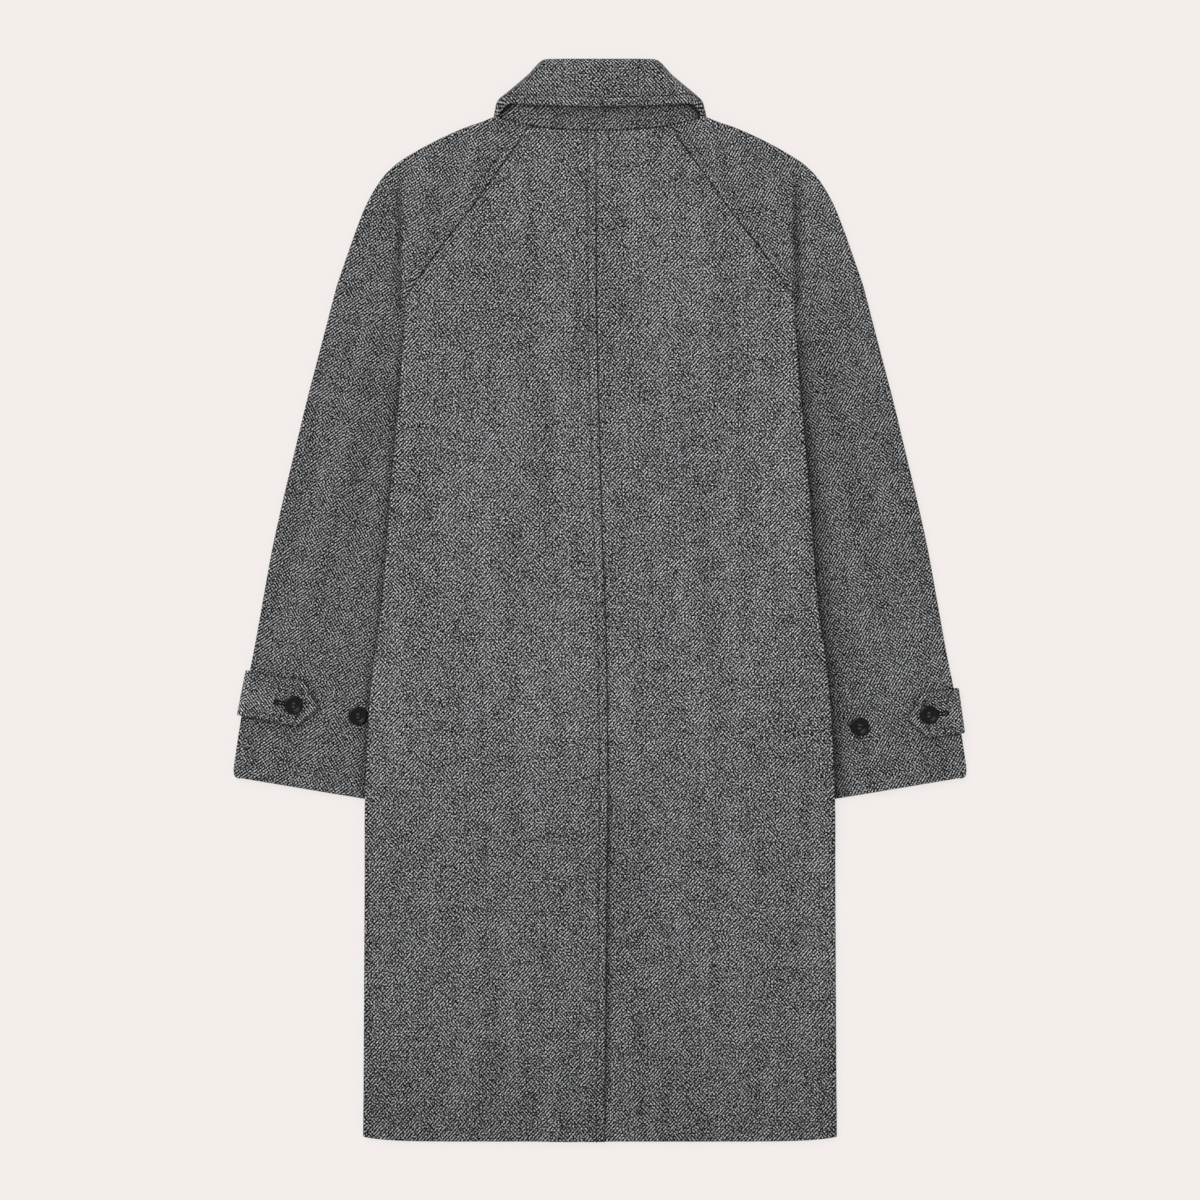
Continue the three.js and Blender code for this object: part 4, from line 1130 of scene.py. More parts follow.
ROWS_BETWEEN = 6
# The collar's neck edge is turned in under the back: how far back from the seam, and how deep.
TURNED_IN = [(5, 3), (4, 3), (2.8, 3), (1.6, 3), (0.8, 2.7), (0.3, 1.8)]


def collar_station(side, neck, fold, turn, under, roll, edge, bow):
    """One row of the collar: out of the neck seam, up the stand, over the roll and down the fall."""
    back = float(back_level(side, *neck))
    front = min(float(front_level(side, *neck)), HIGHEST_FRONT_STAND)
    neck = np.array([*neck, mix(back, front, under)], float)
    edge = np.array(edge, float)
    fold = np.array(fold, float)
    if under == 1:
        fold[2] = neck[2]
        roll = (neck[2] - edge[2]) / 2
    up_stand = (fold - neck) / np.linalg.norm(fold - neck)
    turn = math.radians(turn)
    outward = np.array([up_stand[1], -up_stand[0], 0])
    outward /= np.linalg.norm(outward)
    to_fall = outward * math.sin(turn) + np.array([0, 0, math.cos(turn)])
    to_fall -= up_stand * to_fall.dot(up_stand)
    to_fall /= np.linalg.norm(to_fall)
    stand_top = fold - up_stand * roll
    centre = stand_top + to_fall * roll
    fall_top = centre + to_fall * roll
    turned_in = (1 - under) ** 2
    lip = [neck - up_stand * back - np.array([0, 0, turned_in * drop]) for back, drop in TURNED_IN]
    stand = [mix(neck, stand_top, share) for share in stand_columns(neck, stand_top)]
    rolled = [centre + roll * (up_stand * math.sin(a) - to_fall * math.cos(a)) for a in ROLL_TURNS]
    bow = (fall_top + edge) / 2 if bow is None else np.array(bow, float)
    fall = [bowed_line(fall_top, bow, edge, share) for share in fall_columns(fall_top, edge)]
    return np.array(lip + stand + rolled + fall)


def bowed_line(start, bow, end, share):
    """A place on a line that leaves its straight course towards the bow."""
    return mix(mix(start, bow, share), mix(bow, end, share), share)


def stand_columns(start, end):
    """Shares down the stand, close together at the neck seam, without its top."""
    length = np.linalg.norm(end - start)
    return spread(steps(EDGE_STEPS[:6], [0, 1], STAND_COLUMNS), length)[0][:-1] / length


def fall_columns(start, end):
    """Shares down the fall, close together at its edge and at the stitching, without its top."""
    length, kept = np.linalg.norm(end - start), EDGE_STEPS + STITCH_STEPS[:-3]
    return spread(steps([0, 1], kept, FALL_MIDDLE_COLUMNS), length)[0][1:] / length


def smooth_rows(rows, between):
    """Rows laid smoothly through the stations, with no swing past them."""
    rows = np.array(rows)
    mean_gap = np.linalg.norm(np.diff(rows, axis=0), axis=2).mean(1)
    at = np.concatenate([[0], np.cumsum(mean_gap)])
    shape = (-1, 1, 1)
    slope = np.diff(rows, axis=0) / mean_gap.reshape(shape)
    before, after = slope[:-1], slope[1:]
    same_way = before * after > 0
    inner = np.where(same_way, 2 * before * after / np.where(same_way, before + after, 1), 0)
    slopes = np.concatenate([slope[:1], inner, slope[-1:]])
    spans = [np.linspace(a, b, between, endpoint=False) for a, b in zip(at, at[1:])]
    fine = np.concatenate(spans + [at[-1:]])
    for k in (0, -1):
        inward = EDGE_STEPS[1:-1] if k == 0 else [-s for s in EDGE_STEPS[1:-1]]
        fine = np.concatenate([fine, at[k] + np.array(inward)])
    fine = np.unique(fine)
    i = np.clip(np.searchsorted(at, fine, side="right") - 1, 0, len(at) - 2)
    gap = (at[i + 1] - at[i]).reshape(shape)
    t = ((fine - at[i]) / (at[i + 1] - at[i])).reshape(shape)
    start = t * (1 - t) ** 2 * gap * slopes[i]
    end = t * t * (t - 1) * gap * slopes[i + 1]
    return mix(rows[i], rows[i + 1], t * t * (3 - 2 * t)) + start + end


def collar_points():
    """The whole collar, from the left point round the back of the neck to the right point."""
    right = [collar_station(1, *row) for row in COLLAR]
    left = [collar_station(-1, *row) * [-1, 1, 1] for row in COLLAR[1:]]
    return smooth_rows(left[::-1] + right, ROWS_BETWEEN)


points = collar_points()
FALL_INSET = 10.0
MIDDLE_OF_FALL, MIDDLE_OF_STAND = -16, 10
STRAIGHT_SPAN = (104, 92)
NECK_SEAM_SHARPER = 1.8
FALL_SHADE = 0.08
STAND_SHADE, EDGE_SHADE, EDGE_SHADE_REACH, DEEPEST_SHADE = 0.27, 0.35, 5, 0.7
# Painted shade in the hollow between stand and fall at each end of the fold.
HOLLOW = [(93.5, 520.5), (100, 514.8), (106.5, 507.6)]
HOLLOW_DARK, HOLLOW_REACH = 0.96, 5.6
down_rows = grid_lengths(points, 1)
round_neck = grid_lengths(points, 0)
from_edge = down_rows[:, -1:] - down_rows
from_neck = down_rows - down_rows[:, len(TURNED_IN) : len(TURNED_IN) + 1]
last_of_stand = points.shape[1] - FALL_COLUMNS - len(ROLL_TURNS)
centre_row = len(points) // 2


def round_coat(column):
    """Places round the neck, counted along one column and straight across where the collar is straight."""
    middle_x = points[:, column, None, 0]
    sideways = (points[..., 0] - middle_x) * ramp(*STRAIGHT_SPAN, np.abs(middle_x))
    return (round_neck - round_neck[centre_row])[:, column, None] + sideways


on_fall = np.clip((np.arange(points.shape[1]) - last_of_stand) / len(ROLL_TURNS), 0, 1)
up_stand = from_neck - down_rows[centre_row, -1]
round_neck_place = mix(round_coat(MIDDLE_OF_STAND), round_coat(MIDDLE_OF_FALL), on_fall)
collar_pattern = np.dstack([round_neck_place, mix(up_stand, -from_edge, on_fall)])
relief = stitched_relief(from_edge, round_neck, FALL_INSET)
pressed_and_shade = seam_press_and_shade(np.abs(from_neck) * NECK_SEAM_SHARPER, from_edge - FALL_INSET)
on_stand = np.arange(points.shape[1]) < last_of_stand
# Painted shade: a little over the whole collar, more on the stand, most just below the fall's edge where its
# shadow falls, and in the hollows at the ends of the fold.
shadow = STAND_SHADE + EDGE_SHADE * np.exp((points[..., 1] - points[:, -1:, 1]) / EDGE_SHADE_REACH)
hollow = distance_to(np.array(HOLLOW, float), np.abs(points[..., 0]), points[..., 1])[0]
in_hollow = HOLLOW_DARK * np.exp(-((hollow / HOLLOW_REACH) ** 2))
shadow = np.maximum(np.clip(shadow, 0, DEEPEST_SHADE), in_hollow)
pressed_and_shade = np.maximum(np.maximum(pressed_and_shade, FALL_SHADE), shadow * on_stand)
shell = cloth_shell("cloth_collar", points, -1, COLLAR_LEAF, collar_pattern, relief, pressed_and_shade)
outer_faces["cloth_collar"] = [grid[:, ::-1] for grid in outer_faces["cloth_collar"]]
seam_lines["cloth_collar"] = (from_edge[:, ::-1], range(2, len(points) - 2), FALL_INSET)
dress(shell, "collar")


# %% [markdown]
# ## The cuff tabs
# A tab is sewn into the sleeve's outer seam underneath, comes round the fold of the sleeve and is buttoned
# on top. Its free end is pointed.

# %% Line round a buttonhole
HOLE_LENGTH = 20.8
HOLE_HALF = 1.5
EYELET_RADIUS = 2.3
HOLE_TURNS = {-1: 170, 1: 4.5}
HOLE_START = 3
HOLE_DARK, HOLE_REACH = 0.85, 1.3


def fine_line(corners, step):
    """Points close together along a line of corners."""
    lengths = np.concatenate([[0], np.cumsum(np.linalg.norm(np.diff(corners, axis=0), axis=1))])
    places = np.arange(0, lengths[-1], step)
    return np.stack([np.interp(places, lengths, corners[:, k]) for k in (0, 1)], -1)


def hole_line(side, at_x, at_y, step):
    """The worked edge of a buttonhole: out along one side of the slit, round the eyelet and back."""
    turn = math.radians(HOLE_TURNS[side])
    eyelet = HOLE_LENGTH - EYELET_RADIUS
    start_angle = math.asin(HOLE_HALF / EYELET_RADIUS)
    angles = np.linspace(math.pi - start_angle, start_angle - math.pi, 24)
    ring = np.stack([eyelet + EYELET_RADIUS * np.cos(angles), EYELET_RADIUS * np.sin(angles)], -1)
    outline = np.vstack([[(HOLE_START, HOLE_HALF)], ring, [(HOLE_START, -HOLE_HALF)]])
    outline = fine_line(outline, step)
    ahead = np.array([math.cos(turn), math.sin(turn)])
    aside = np.array([-math.sin(turn), math.cos(turn)])
    return np.array([at_x, at_y]) + outline[:, :1] * ahead + outline[:, 1:] * aside


print("a buttonhole is", HOLE_LENGTH, "mm long")

# %% Tab grids
TAB_TOP_ROWS = 44
TAB_COLUMNS = [-1, -0.985, -0.95, -0.9, -0.83, -0.76, -0.7, -0.65, -0.6, -0.5, -0.35, -0.2, 0]
TAB_TIP = 3.0
NEAR_TIP = [0, 0.3, 0.8, 1.5, 2.5, 4, 6, 8, 10.5, 13, 15.5, 17.5, TAB_POINT]
TAB_INSET = 7.6
TAB_WEAVE = 1.08
TAB_FOLD_ROWS, TAB_BELOW_ROWS = 20, 8
TAB_EDGE_SHARPER, TAB_LINES, TAB_SHADE_LEAST = 1.2, 0.9, 0.1
PATH_STEP = 1.5


def tab_place(tab, reach, share):
    """A place on the tab in plan: how far it reaches in, and its share of the half width there."""
    width = mix(TAB_TIP, TAB_WIDTH, np.clip((tab["reach"] - reach) / TAB_POINT, 0, 1))
    return tab_spot(tab, reach, share * width / 2)


def tab_height(side, x, y):
    """The middle of the tab's wall, on top of the sleeve."""
    return sleeve_back_level(side, x, y) + CLOTH / 2 + SEAM + TAB_LEAF / 2


def tab_grid(side):
    """The middle points of a tab: over the sleeve from its tip, round the sleeve's edge and under it."""
    tab = TABS[side]
    reach = tab["reach"]
    shares = np.array(TAB_COLUMNS + [-c for c in TAB_COLUMNS[-2::-1]])
    near_tip = reach - np.array(NEAR_TIP)
    on_top = np.concatenate([near_tip, np.linspace(near_tip[-1], TAB_FOLD_START, TAB_TOP_ROWS)[1:]])
    rows, columns = np.meshgrid(on_top, shares, indexing="ij")
    plan = tab_place(tab, rows, columns)
    top = np.dstack([plan, tab_height(side, plan[..., 0], plan[..., 1])])
    under_level = TAB_LEAF / 2
    angle, columns = np.meshgrid(np.linspace(0, math.pi, TAB_FOLD_ROWS)[1:-1], shares, indexing="ij")
    plan = tab_place(tab, np.full(angle.shape, float(TAB_FOLD_START)), columns)
    radius = (tab_height(side, plan[..., 0], plan[..., 1]) - under_level) / 2
    slope = math.radians(tab["slope"])
    outward = np.array([math.cos(slope), math.sin(slope)])
    bulge = (TAB_FOLD_START + TAB_PROUD + TAB_LEAF / 2) * np.sin(angle)
    folded = np.dstack([plan + outward * bulge[..., None], under_level + radius * (1 + np.cos(angle))])
    below = np.linspace(TAB_FOLD_START, TAB_UNDER - EDGE_STEPS[-1], TAB_BELOW_ROWS)
    below = np.concatenate([below, TAB_UNDER - np.array(EDGE_STEPS[-2::-1])])
    rows, columns = np.meshgrid(below, shares, indexing="ij")
    plan = tab_place(tab, rows, columns)
    under = np.dstack([plan, np.full(rows.shape, under_level)])
    return np.vstack([top, folded, under])


for word, side in (("left", -1), ("right", 1)):
    points = mirrored(tab_grid(side), side)
    middle = points.shape[1] // 2
    across_tab, down_tab = grid_lengths(points, 1), grid_lengths(points, 0)[:, middle, None]
    across_tab = across_tab - across_tab[:, middle, None]
    pattern = np.dstack([across_tab, np.broadcast_to(down_tab, across_tab.shape)])
    fine = pattern * TAB_WEAVE
    away, run = distance_to(tab_line(TABS[side], 0) * [side, 1], points[..., 0], points[..., 1])
    on_top = (np.arange(len(points)) < TAB_TOP_ROWS + len(NEAR_TIP) - 1)[:, None]
    relief = stitched_relief(away, run, TAB_INSET, 1) * on_top
    # Painted shade along the tab's edges and stitching, and a little over all its top.
    lines = TAB_LINES * seam_press_and_shade(away * TAB_EDGE_SHARPER, away - TAB_INSET)
    pressed_and_shade = np.maximum(lines, TAB_SHADE_LEAST) * on_top
    at_x, at_y = next((x, y) for name, x, y, _ in BUTTONS if name == f"tab_button_{word}")
    to_hole = distance_to(hole_line(side, at_x, at_y, PATH_STEP), points[..., 0], points[..., 1])[0]
    pressed_and_shade = np.maximum(pressed_and_shade, HOLE_DARK * np.exp(-((to_hole / HOLE_REACH) ** 2)) * on_top)
    shell = cloth_shell(f"cloth_cuff_tab_{word}", points, side, TAB_LEAF, fine, relief, pressed_and_shade)
    dress(shell, f"cuff_tab_{word}")


# %% [markdown]
# ## Topstitching and buttonholes
# Every seam that shows is stitched again a finger's breadth from its edge, with thick thread in a dark
# grey. Thousands of equal stitches along a path are what Geometry Nodes are for: a small rounded stitch is
# laid at each step of a path, turned along it and stood on the cloth. The same tree makes a buttonhole,
# with its stitches laid across the path and close together.

# %% Thread
THREAD_GREY = "#1A1A1A"
SILK_BLACK = "#070707"
BUTTON_THREAD_GREY = "#4A4A48"
THREAD_TWIST = 22
TWIST_DEPTH, TWIST_STRENGTH = 0.1, 0.5


def thread_material(name, colour):
    """Twisted thread of one colour."""
    material, tree, shader = new_material(name)
    place = add_node(tree, "ShaderNodeTexCoord").outputs["Object"]
    bands, scale = {"bands_direction": "DIAGONAL"}, 1 / (THREAD_TWIST * MM)
    twist = add_node(tree, "ShaderNodeTexWave", bands, Vector=place, Scale=scale).outputs["Fac"]
    bump = add_node(tree, "ShaderNodeBump", Height=twist, Distance=TWIST_DEPTH * MM, Strength=TWIST_STRENGTH)
    tree.links.new(bump.outputs[0], shader.inputs["Normal"])
    shader.inputs["Base Color"].default_value = linear(colour)
    shader.inputs["Roughness"].default_value = 0.6
    shader.inputs["Specular IOR Level"].default_value = 0.2
    return material


thread = thread_material("twisted polyester thread", THREAD_GREY)
silk = thread_material("black buttonhole silk", SILK_BLACK)
button_thread = thread_material("waxed button thread", BUTTON_THREAD_GREY)
print("thread is", THREAD_GREY)

# %% Tree that lays stitches
stitching = bpy.data.node_groups.new("stitching", "GeometryNodeTree")
stitch_inputs = {}
for label, kind in (
    ("Path", "NodeSocketGeometry"),
    ("Step", "NodeSocketFloat"),
    ("Along", "NodeSocketFloat"),
    ("Across", "NodeSocketFloat"),
    ("Thickness", "NodeSocketFloat"),
    ("Uneven", "NodeSocketFloat"),
    ("Seed", "NodeSocketInt"),
    ("Thread", "NodeSocketMaterial"),
):
    socket = stitching.interface.new_socket(name=label, in_out="INPUT", socket_type=kind)
    stitch_inputs[label] = socket.identifier
stitching.interface.new_socket(name="Stitches", in_out="OUTPUT", socket_type="NodeSocketGeometry")

given = add_node(stitching, "NodeGroupInput").outputs
line = add_node(stitching, "GeometryNodeMeshToCurve", Mesh=given["Path"])
stops = add_node(stitching, "GeometryNodeResampleCurve", {"mode": "LENGTH"}, Curve=line.outputs[0])
stitching.links.new(given["Step"], stops.inputs["Length"])
tangent = add_node(stitching, "GeometryNodeInputTangent").outputs[0]
vectors = {"data_type": "FLOAT_VECTOR"}
outward = add_node(stitching, "GeometryNodeInputNamedAttribute", vectors, Name="outward")
along_path = add_node(stitching, "FunctionNodeAlignRotationToVector", {"axis": "X"}, Vector=tangent)
turned = add_node(
    stitching,
    "FunctionNodeAlignRotationToVector",
    {"axis": "Z", "pivot_axis": "X"},
    Rotation=along_path.outputs[0],
    Vector=outward.outputs[0],
)
halves = [
    add_node(stitching, "ShaderNodeMath", {"operation": "MULTIPLY"}, _0=given[label], _1=0.5).outputs[0]
    for label in ("Along", "Across", "Thickness")
]
size = add_node(stitching, "ShaderNodeCombineXYZ", X=halves[0], Y=halves[1], Z=halves[2])
least = add_node(stitching, "ShaderNodeMath", {"operation": "SUBTRACT"}, _0=1.0, _1=given["Uneven"])
most = add_node(stitching, "ShaderNodeMath", {"operation": "ADD"}, _0=1.0, _1=given["Uneven"])
chance = add_node(stitching, "FunctionNodeRandomValue", Seed=given["Seed"])
stitching.links.new(least.outputs[0], chance.inputs[2])
stitching.links.new(most.outputs[0], chance.inputs[3])
scaled = add_node(
    stitching, "ShaderNodeVectorMath", {"operation": "SCALE"}, _0=size.outputs[0], Scale=chance.outputs[1]
)
bead = add_node(stitching, "GeometryNodeMeshUVSphere", Segments=6, Rings=5, Radius=1.0)
laid = add_node(
    stitching,
    "GeometryNodeInstanceOnPoints",
    Points=stops.outputs[0],
    Instance=bead.outputs[0],
    Rotation=turned.outputs[0],
    Scale=scaled.outputs[0],
)
real = add_node(stitching, "GeometryNodeRealizeInstances", Geometry=laid.outputs[0])
smooth = add_node(stitching, "GeometryNodeSetShadeSmooth", Geometry=real.outputs[0])
threaded = add_node(stitching, "GeometryNodeSetMaterial", Geometry=smooth.outputs[0])
stitching.links.new(given["Thread"], threaded.inputs["Material"])
add_node(stitching, "NodeGroupOutput", Stitches=threaded.outputs[0])
print("inputs of the tree:", ", ".join(stitch_inputs))


# %% Laying stitches along paths
UNEVEN_STITCHES = 0.07
SEWN_LIFT = 0.12
STITCH_STEP, STITCH_LENGTH, STITCH_THICKNESS = 3.4, 2.7, 0.62


def plain_mesh(obj, name):
    """The object as its modifiers leave it, as a new object with a plain mesh and no modifiers."""
    bpy.context.view_layer.update()
    evaluated = obj.evaluated_get(bpy.context.evaluated_depsgraph_get())
    mesh = bpy.data.meshes.new_from_object(evaluated)
    mesh.name = name
    result = bpy.data.objects.new(name, mesh)
    bpy.data.objects.remove(obj)
    scene.collection.objects.link(result)
    return result


def lay_stitches(name, paths, step, along, across, thickness, seed, material=thread, slot="tweed"):
    """Stitches along each path. A path is its points and the cloth's normals there, in millimetres."""
    points = np.vstack([path for path, _ in paths]) * MM
    normals = np.vstack([normal for _, normal in paths])
    edges, start = [], 0
    for path, _ in paths:
        edges += [(start + i, start + i + 1) for i in range(len(path) - 1)]
        start += len(path)
    mesh = bpy.data.meshes.new(name)
    mesh.from_pydata(points.tolist(), edges, [])
    attribute = mesh.attributes.new("outward", "FLOAT_VECTOR", "POINT")
    attribute.data.foreach_set("vector", normals.ravel())
    obj = bpy.data.objects.new(name, mesh)
    scene.collection.objects.link(obj)
    modifier = obj.modifiers.new("stitches", "NODES")
    modifier.node_group = stitching
    sizes = {"Step": step, "Along": along, "Across": across, "Thickness": thickness}
    for label, value in sizes.items():
        modifier[stitch_inputs[label]] = value * MM
    modifier[stitch_inputs["Uneven"]] = UNEVEN_STITCHES
    modifier[stitch_inputs["Seed"]] = seed
    modifier[stitch_inputs["Thread"]] = material
    result = plain_mesh(obj, name)
    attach(result, "root")
    print(f"{name}: {len(result.data.polygons)} faces")
    return result


def line_across(name, away, inset, rows):
    """The path over a piece's outer face at one distance from its seam, found in each of these rows."""
    outer, normals = outer_faces[name]
    path, facing = [], []
    for i in rows:
        j = int(np.argmax(away[i] >= inset))
        if j == 0:
            continue
        share = (inset - away[i, j - 1]) / (away[i, j] - away[i, j - 1])
        path.append(mix(outer[i, j - 1], outer[i, j], share))
        facing.append(mix(normals[i, j - 1], normals[i, j], share))
    path, facing = np.array(path), np.array(facing)
    return path + facing * SEWN_LIFT, facing


def topstitch(name, path, seed):
    """One row of plain topstitching."""
    lay_stitches(name, [path], STITCH_STEP, STITCH_LENGTH, STITCH_THICKNESS, STITCH_THICKNESS, seed)


print("a metre of seam takes", round(1000 / STITCH_STEP), "stitches")

# %% Topstitching of the seams
for number, (name, (away, rows, inset)) in enumerate(seam_lines.items()):
    topstitch(name.replace("cloth", "stitches"), line_across(name, away, inset, rows), number)

# %% Slanted stitching that holds the top of the vent's underlap
VENT_SLANT = [(1, -182.5), (-14, -186.5), (-33, -193.5)]
SLANT_STEP, SLANT_LENGTH, SLANT_WIDTH, SLANT_THICKNESS = 3.6, 3.2, 1.5, 0.8
SLANT_SEED, TAB_SEED, HOLE_SEED = 50, 30, 40
slant = fine_line(np.array(VENT_SLANT, float), PATH_STEP)
height = back_level(-1, -slant[:, 0], slant[:, 1]) + CLOTH / 2 + SEWN_LIFT
up_normals = np.tile([0.0, 0.0, 1.0], (len(slant), 1))
slant_path = np.column_stack([slant, height]), up_normals
slant_size = SLANT_STEP, SLANT_LENGTH, SLANT_WIDTH, SLANT_THICKNESS
lay_stitches("stitches_vent_top", [slant_path], *slant_size, SLANT_SEED, silk)

# %% Topstitching of the tabs
NORMAL_PROBE = 2
LEFT_OUT = 4


def sleeve_normal(side, x, y):
    """The direction that the top of the sleeve faces at a place."""
    right, left = (sleeve_back_level(side, x + probe, y) for probe in (NORMAL_PROBE, -NORMAL_PROBE))
    upper, lower = (sleeve_back_level(side, x, y + probe) for probe in (NORMAL_PROBE, -NORMAL_PROBE))
    slope_x, slope_y = (right - left) / (2 * NORMAL_PROBE), (upper - lower) / (2 * NORMAL_PROBE)
    normal = np.stack([-slope_x, -slope_y, np.ones_like(slope_x)], -1)
    return normal / np.linalg.norm(normal, axis=-1, keepdims=True) * [side, 1, 1]


def on_tab(side, line, lift):
    """A path over the top of a tab, from its line in plan, with the normals there."""
    height = tab_height(side, line[:, 0], line[:, 1]) + TAB_LEAF / 2 + lift
    path = np.column_stack([line * [side, 1], height])
    return path, sleeve_normal(side, line[:, 0], line[:, 1])


for word, side in (("left", -1), ("right", 1)):
    line = fine_line(tab_line(TABS[side], TAB_INSET), PATH_STEP)[LEFT_OUT:-LEFT_OUT]
    topstitch(f"stitches_cuff_tab_{word}", on_tab(side, line, SEWN_LIFT - CHANNEL_DEPTH), TAB_SEED)

# %% Buttonholes, worked with close stitches round a slit with a round end
PURL_STEP, PURL_LENGTH, PURL_THICKNESS, PURL_LIFT = 0.6, 2.3, 0.9, 0.15
purl_size = PURL_STEP, PURL_THICKNESS, PURL_LENGTH, PURL_THICKNESS
for name, at_x, at_y, has_tab in BUTTONS:
    if not has_tab:
        continue
    side = int(math.copysign(1, at_x))
    line = hole_line(side, at_x, at_y, PURL_STEP / 2)
    path = on_tab(side, line * [side, 1], PURL_LIFT)
    lay_stitches(name.replace("button", "buttonhole"), [path], *purl_size, HOLE_SEED, silk)

# %% [markdown]
# ## Buttons
# The buttons are turned from dark horn: a flat back, a rounded rim that stands up, and a dished middle with
# four holes. A section is spun round, the holes are cut out of it, and every edge gets a fine bevel, since
# it is the bevels that catch the light. The thread comes up through the holes and holds it to the sleeve.

# %% Horn
HORN_DARK, HORN_LIGHT = "#050505", "#1C1915"
GRAIN_STRETCH, GRAIN_SCALE, GRAIN_DETAIL = 6, 180.0, 4.0
LIGHT_GRAIN, POLISH = (0.45, 0.75), (0.08, 0.2)
horn, tree, shader = new_material("polished dark horn")
place = add_node(tree, "ShaderNodeTexCoord").outputs["Object"]
stretched = add_node(tree, "ShaderNodeMapping", Vector=place, Scale=(1, GRAIN_STRETCH, 1)).outputs[0]
grain = add_node(tree, "ShaderNodeTexNoise", Vector=stretched, Scale=GRAIN_SCALE, Detail=GRAIN_DETAIL)
grain = grain.outputs["Fac"]
colour = add_node(
    tree,
    "ShaderNodeMix",
    {"data_type": "RGBA"},
    _0=spanned(grain, LIGHT_GRAIN, (0, 1)),
    _6=linear(HORN_DARK),
    _7=linear(HORN_LIGHT),
)
tree.links.new(colour.outputs[2], shader.inputs["Base Color"])
tree.links.new(spanned(grain, (0, 1), POLISH), shader.inputs["Roughness"])
shader.inputs["Specular IOR Level"].default_value = 0.2
print("horn from", HORN_DARK, "to", HORN_LIGHT)

# %% Button
BUTTON_ROUND = 72
# Half the button's section, from the middle of its back round the rim to the middle of its face.
BUTTON_SECTION = [(0, 0), (7.4, 0), (8.9, 0.25), (9.7, 0.95), (10, 1.75), (9.8, 2.5), (9.3, 3.1)]
BUTTON_SECTION += [(8.5, 3.4), (7.6, 3.4), (7, 3.1), (6.6, 2.75), (6.1, 2.43), (5.5, 2.2), (4.8, 2.04)]
BUTTON_SECTION += [(3.8, 1.95), (0, 1.9)]
ROUNDINGS = 2
THREAD_HOLE, HOLE_OFFSET, HOLE_ROUND, DRILL_LENGTH = 1.0, 1.75, 20, 20
SAME_POINT = 1e-6
BEVEL, BEVEL_STEPS, SHARP_EDGE = 0.12, 2, math.radians(40)
BUTTON_LIFT = 2 * SEAM


def spun(name, section, turns):
    """A closed mesh from a half section of (radius, height) rows, spun round the Z axis."""
    work = bmesh.new()
    edges = [work.verts.new((radius * MM, 0, height * MM)) for radius, height in section]
    for a, b in zip(edges, edges[1:]):
        work.edges.new((a, b))
    bmesh.ops.spin(work, geom=work.verts[:] + work.edges[:], axis=(0, 0, 1), angle=2 * math.pi, steps=turns)
    bmesh.ops.remove_doubles(work, verts=work.verts, dist=SAME_POINT)
    bmesh.ops.recalc_face_normals(work, faces=work.faces)
    mesh = bpy.data.meshes.new(name)
    work.to_mesh(mesh)
    work.free()
    obj = bpy.data.objects.new(name, mesh)
    scene.collection.objects.link(obj)
    return obj


def smooth_section(section, times):
    """More points along a section, rounded where it bends."""
    rows = np.array(section, float)
    for _ in range(times):
        start, end = rows[:-1], rows[1:]
        cut = np.stack([mix(start, end, 0.25), mix(start, end, 0.75)], 1).reshape(-1, 2)
        rows = np.vstack([rows[:1], cut[1:-1], rows[-1:]])
    return rows.tolist()


def set_on_sleeve(obj, at_x, at_y, has_tab):
    """Moves the mesh, made round the origin, to its seat on the sleeve."""
    side = int(math.copysign(1, at_x))
    x, y = np.array(abs(at_x)), np.array(at_y)
    normal = sleeve_normal(side, x, y)
    lift = CLOTH / 2 + (SEAM + TAB_LEAF if has_tab else 0) + BUTTON_LIFT
    seat = np.array([at_x, at_y, float(sleeve_back_level(side, x, y))]) + normal * lift
    turn = Vector((0, 0, 1)).rotation_difference(Vector(normal)).to_matrix().to_4x4()
    obj.data.transform(Matrix.Translation(seat * MM) @ turn)


def drill_for_holes():
    """Four round rods that cut the holes for the thread."""
    work = bmesh.new()
    sizes = {"segments": HOLE_ROUND, "radius1": THREAD_HOLE * MM, "radius2": THREAD_HOLE * MM}
    for turn_x, turn_y in FOUR_CORNERS:
        place = Matrix.Translation((turn_x * HOLE_OFFSET * MM, turn_y * HOLE_OFFSET * MM, 0))
        bmesh.ops.create_cone(work, cap_ends=True, depth=DRILL_LENGTH * MM, matrix=place, **sizes)
    mesh = bpy.data.meshes.new("drill")
    work.to_mesh(mesh)
    work.free()
    obj = bpy.data.objects.new("drill", mesh)
    scene.collection.objects.link(obj)
    return obj


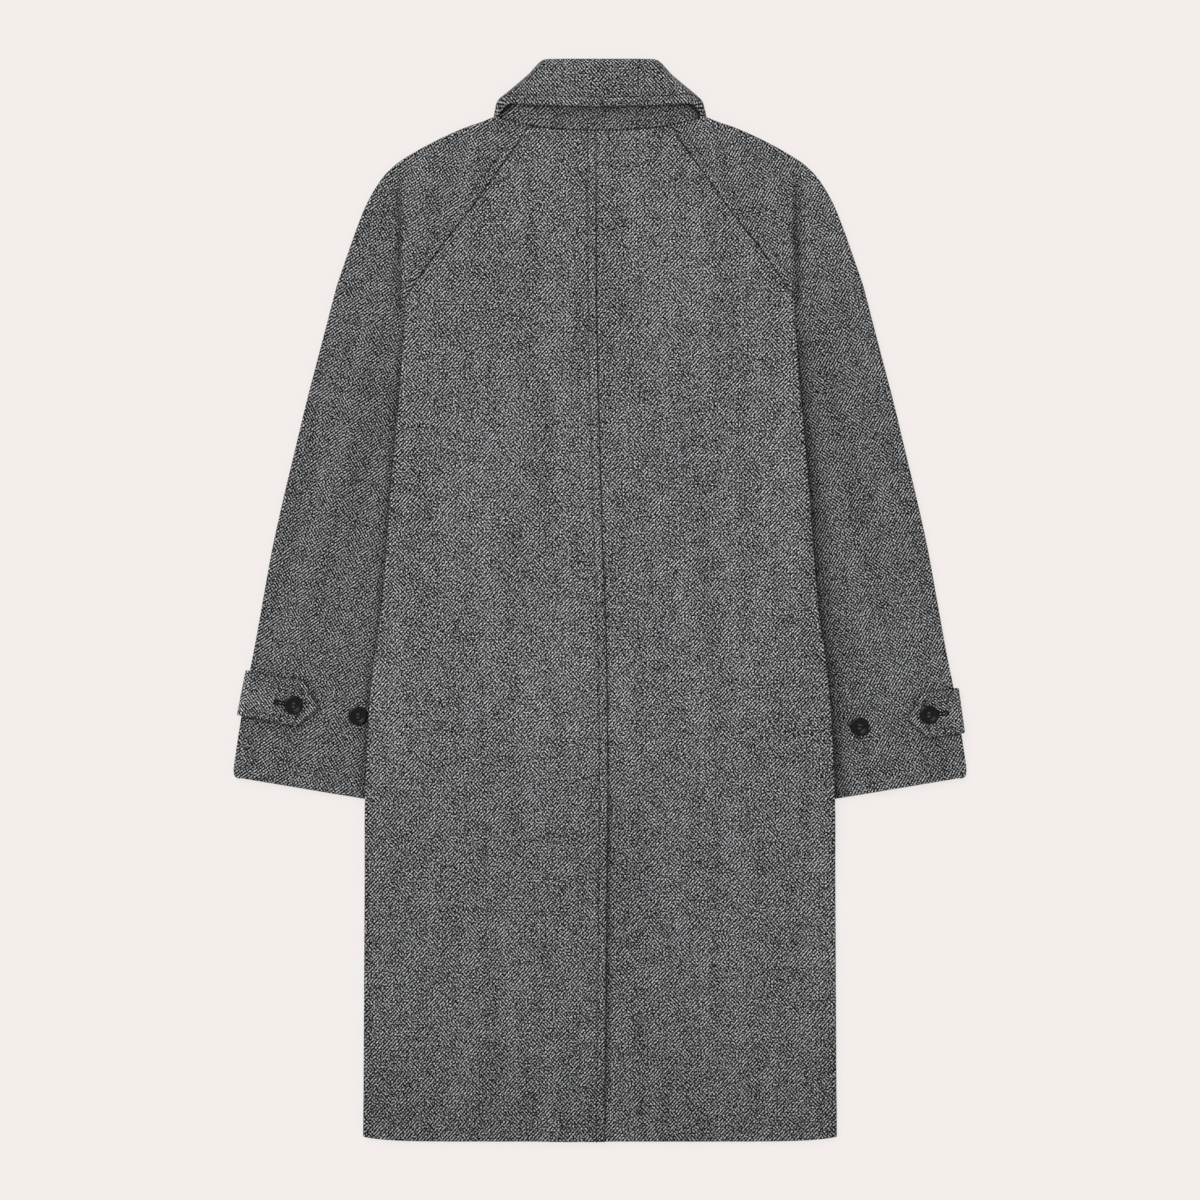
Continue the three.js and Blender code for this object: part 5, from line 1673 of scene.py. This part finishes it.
for name, at_x, at_y, has_tab in BUTTONS:
    button = spun(f"horn_{name}", smooth_section(BUTTON_SECTION, ROUNDINGS), BUTTON_ROUND)
    drill = drill_for_holes()
    holes = button.modifiers.new("holes", "BOOLEAN")
    holes.operation = "DIFFERENCE"
    holes.object = drill
    rounding = button.modifiers.new("rounding", "BEVEL")
    rounding.width = BEVEL * MM
    rounding.segments = BEVEL_STEPS
    rounding.limit_method = "ANGLE"
    button = plain_mesh(button, f"horn_{name}")
    bpy.data.objects.remove(drill)
    button.data.materials.clear()
    button.data.materials.append(horn)
    button.data.polygons.foreach_set("use_smooth", np.ones(len(button.data.polygons), bool))
    button.data.set_sharp_from_angle(angle=SHARP_EDGE)
    set_on_sleeve(button, at_x, at_y, has_tab)
    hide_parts(name)
    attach(button, "root")
    print(f"{name}: {len(button.data.polygons)} faces")

# %% Thread through the buttons
STRAND, STRANDS, STRAND_APART = 0.26, 4, 1.7
SUNK, ARCH_TOP, ARCH_UNEVEN, ARCH_MIDDLE = 1.6, 2.15, 0.12, 0.1
for name, at_x, at_y, has_tab in BUTTONS:
    strands = bpy.data.curves.new("strands", "CURVE")
    strands.dimensions = "3D"
    strands.bevel_depth = STRAND * MM
    strands.bevel_resolution = 2
    strands.use_fill_caps = True
    for row in (-1, 1):
        for strand in range(STRANDS):
            aside = row * HOLE_OFFSET + (strand - (STRANDS - 1) / 2) * STRAND_APART * STRAND
            top = ARCH_TOP + ARCH_UNEVEN * (strand % 2)
            arch = [(-1.7, -SUNK), (-1.75, 0.6), (-1.55, 1.75), (-0.9, top), (0, top + ARCH_MIDDLE)]
            arch += [(-x, z) for x, z in arch[-2::-1]]
            spline = strands.splines.new("POLY")
            spline.points.add(len(arch) - 1)
            for point, (x, z) in zip(spline.points, arch):
                point.co = (x * MM, aside * MM, z * MM, 1)
    strands.materials.append(button_thread)
    sewing = bpy.data.objects.new("strands", strands)
    scene.collection.objects.link(sewing)
    sewing = plain_mesh(sewing, f"thread_{name}")
    set_on_sleeve(sewing, at_x, at_y, has_tab)
    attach(sewing, "root")
print("each button is held by", 2 * STRANDS, "strands")
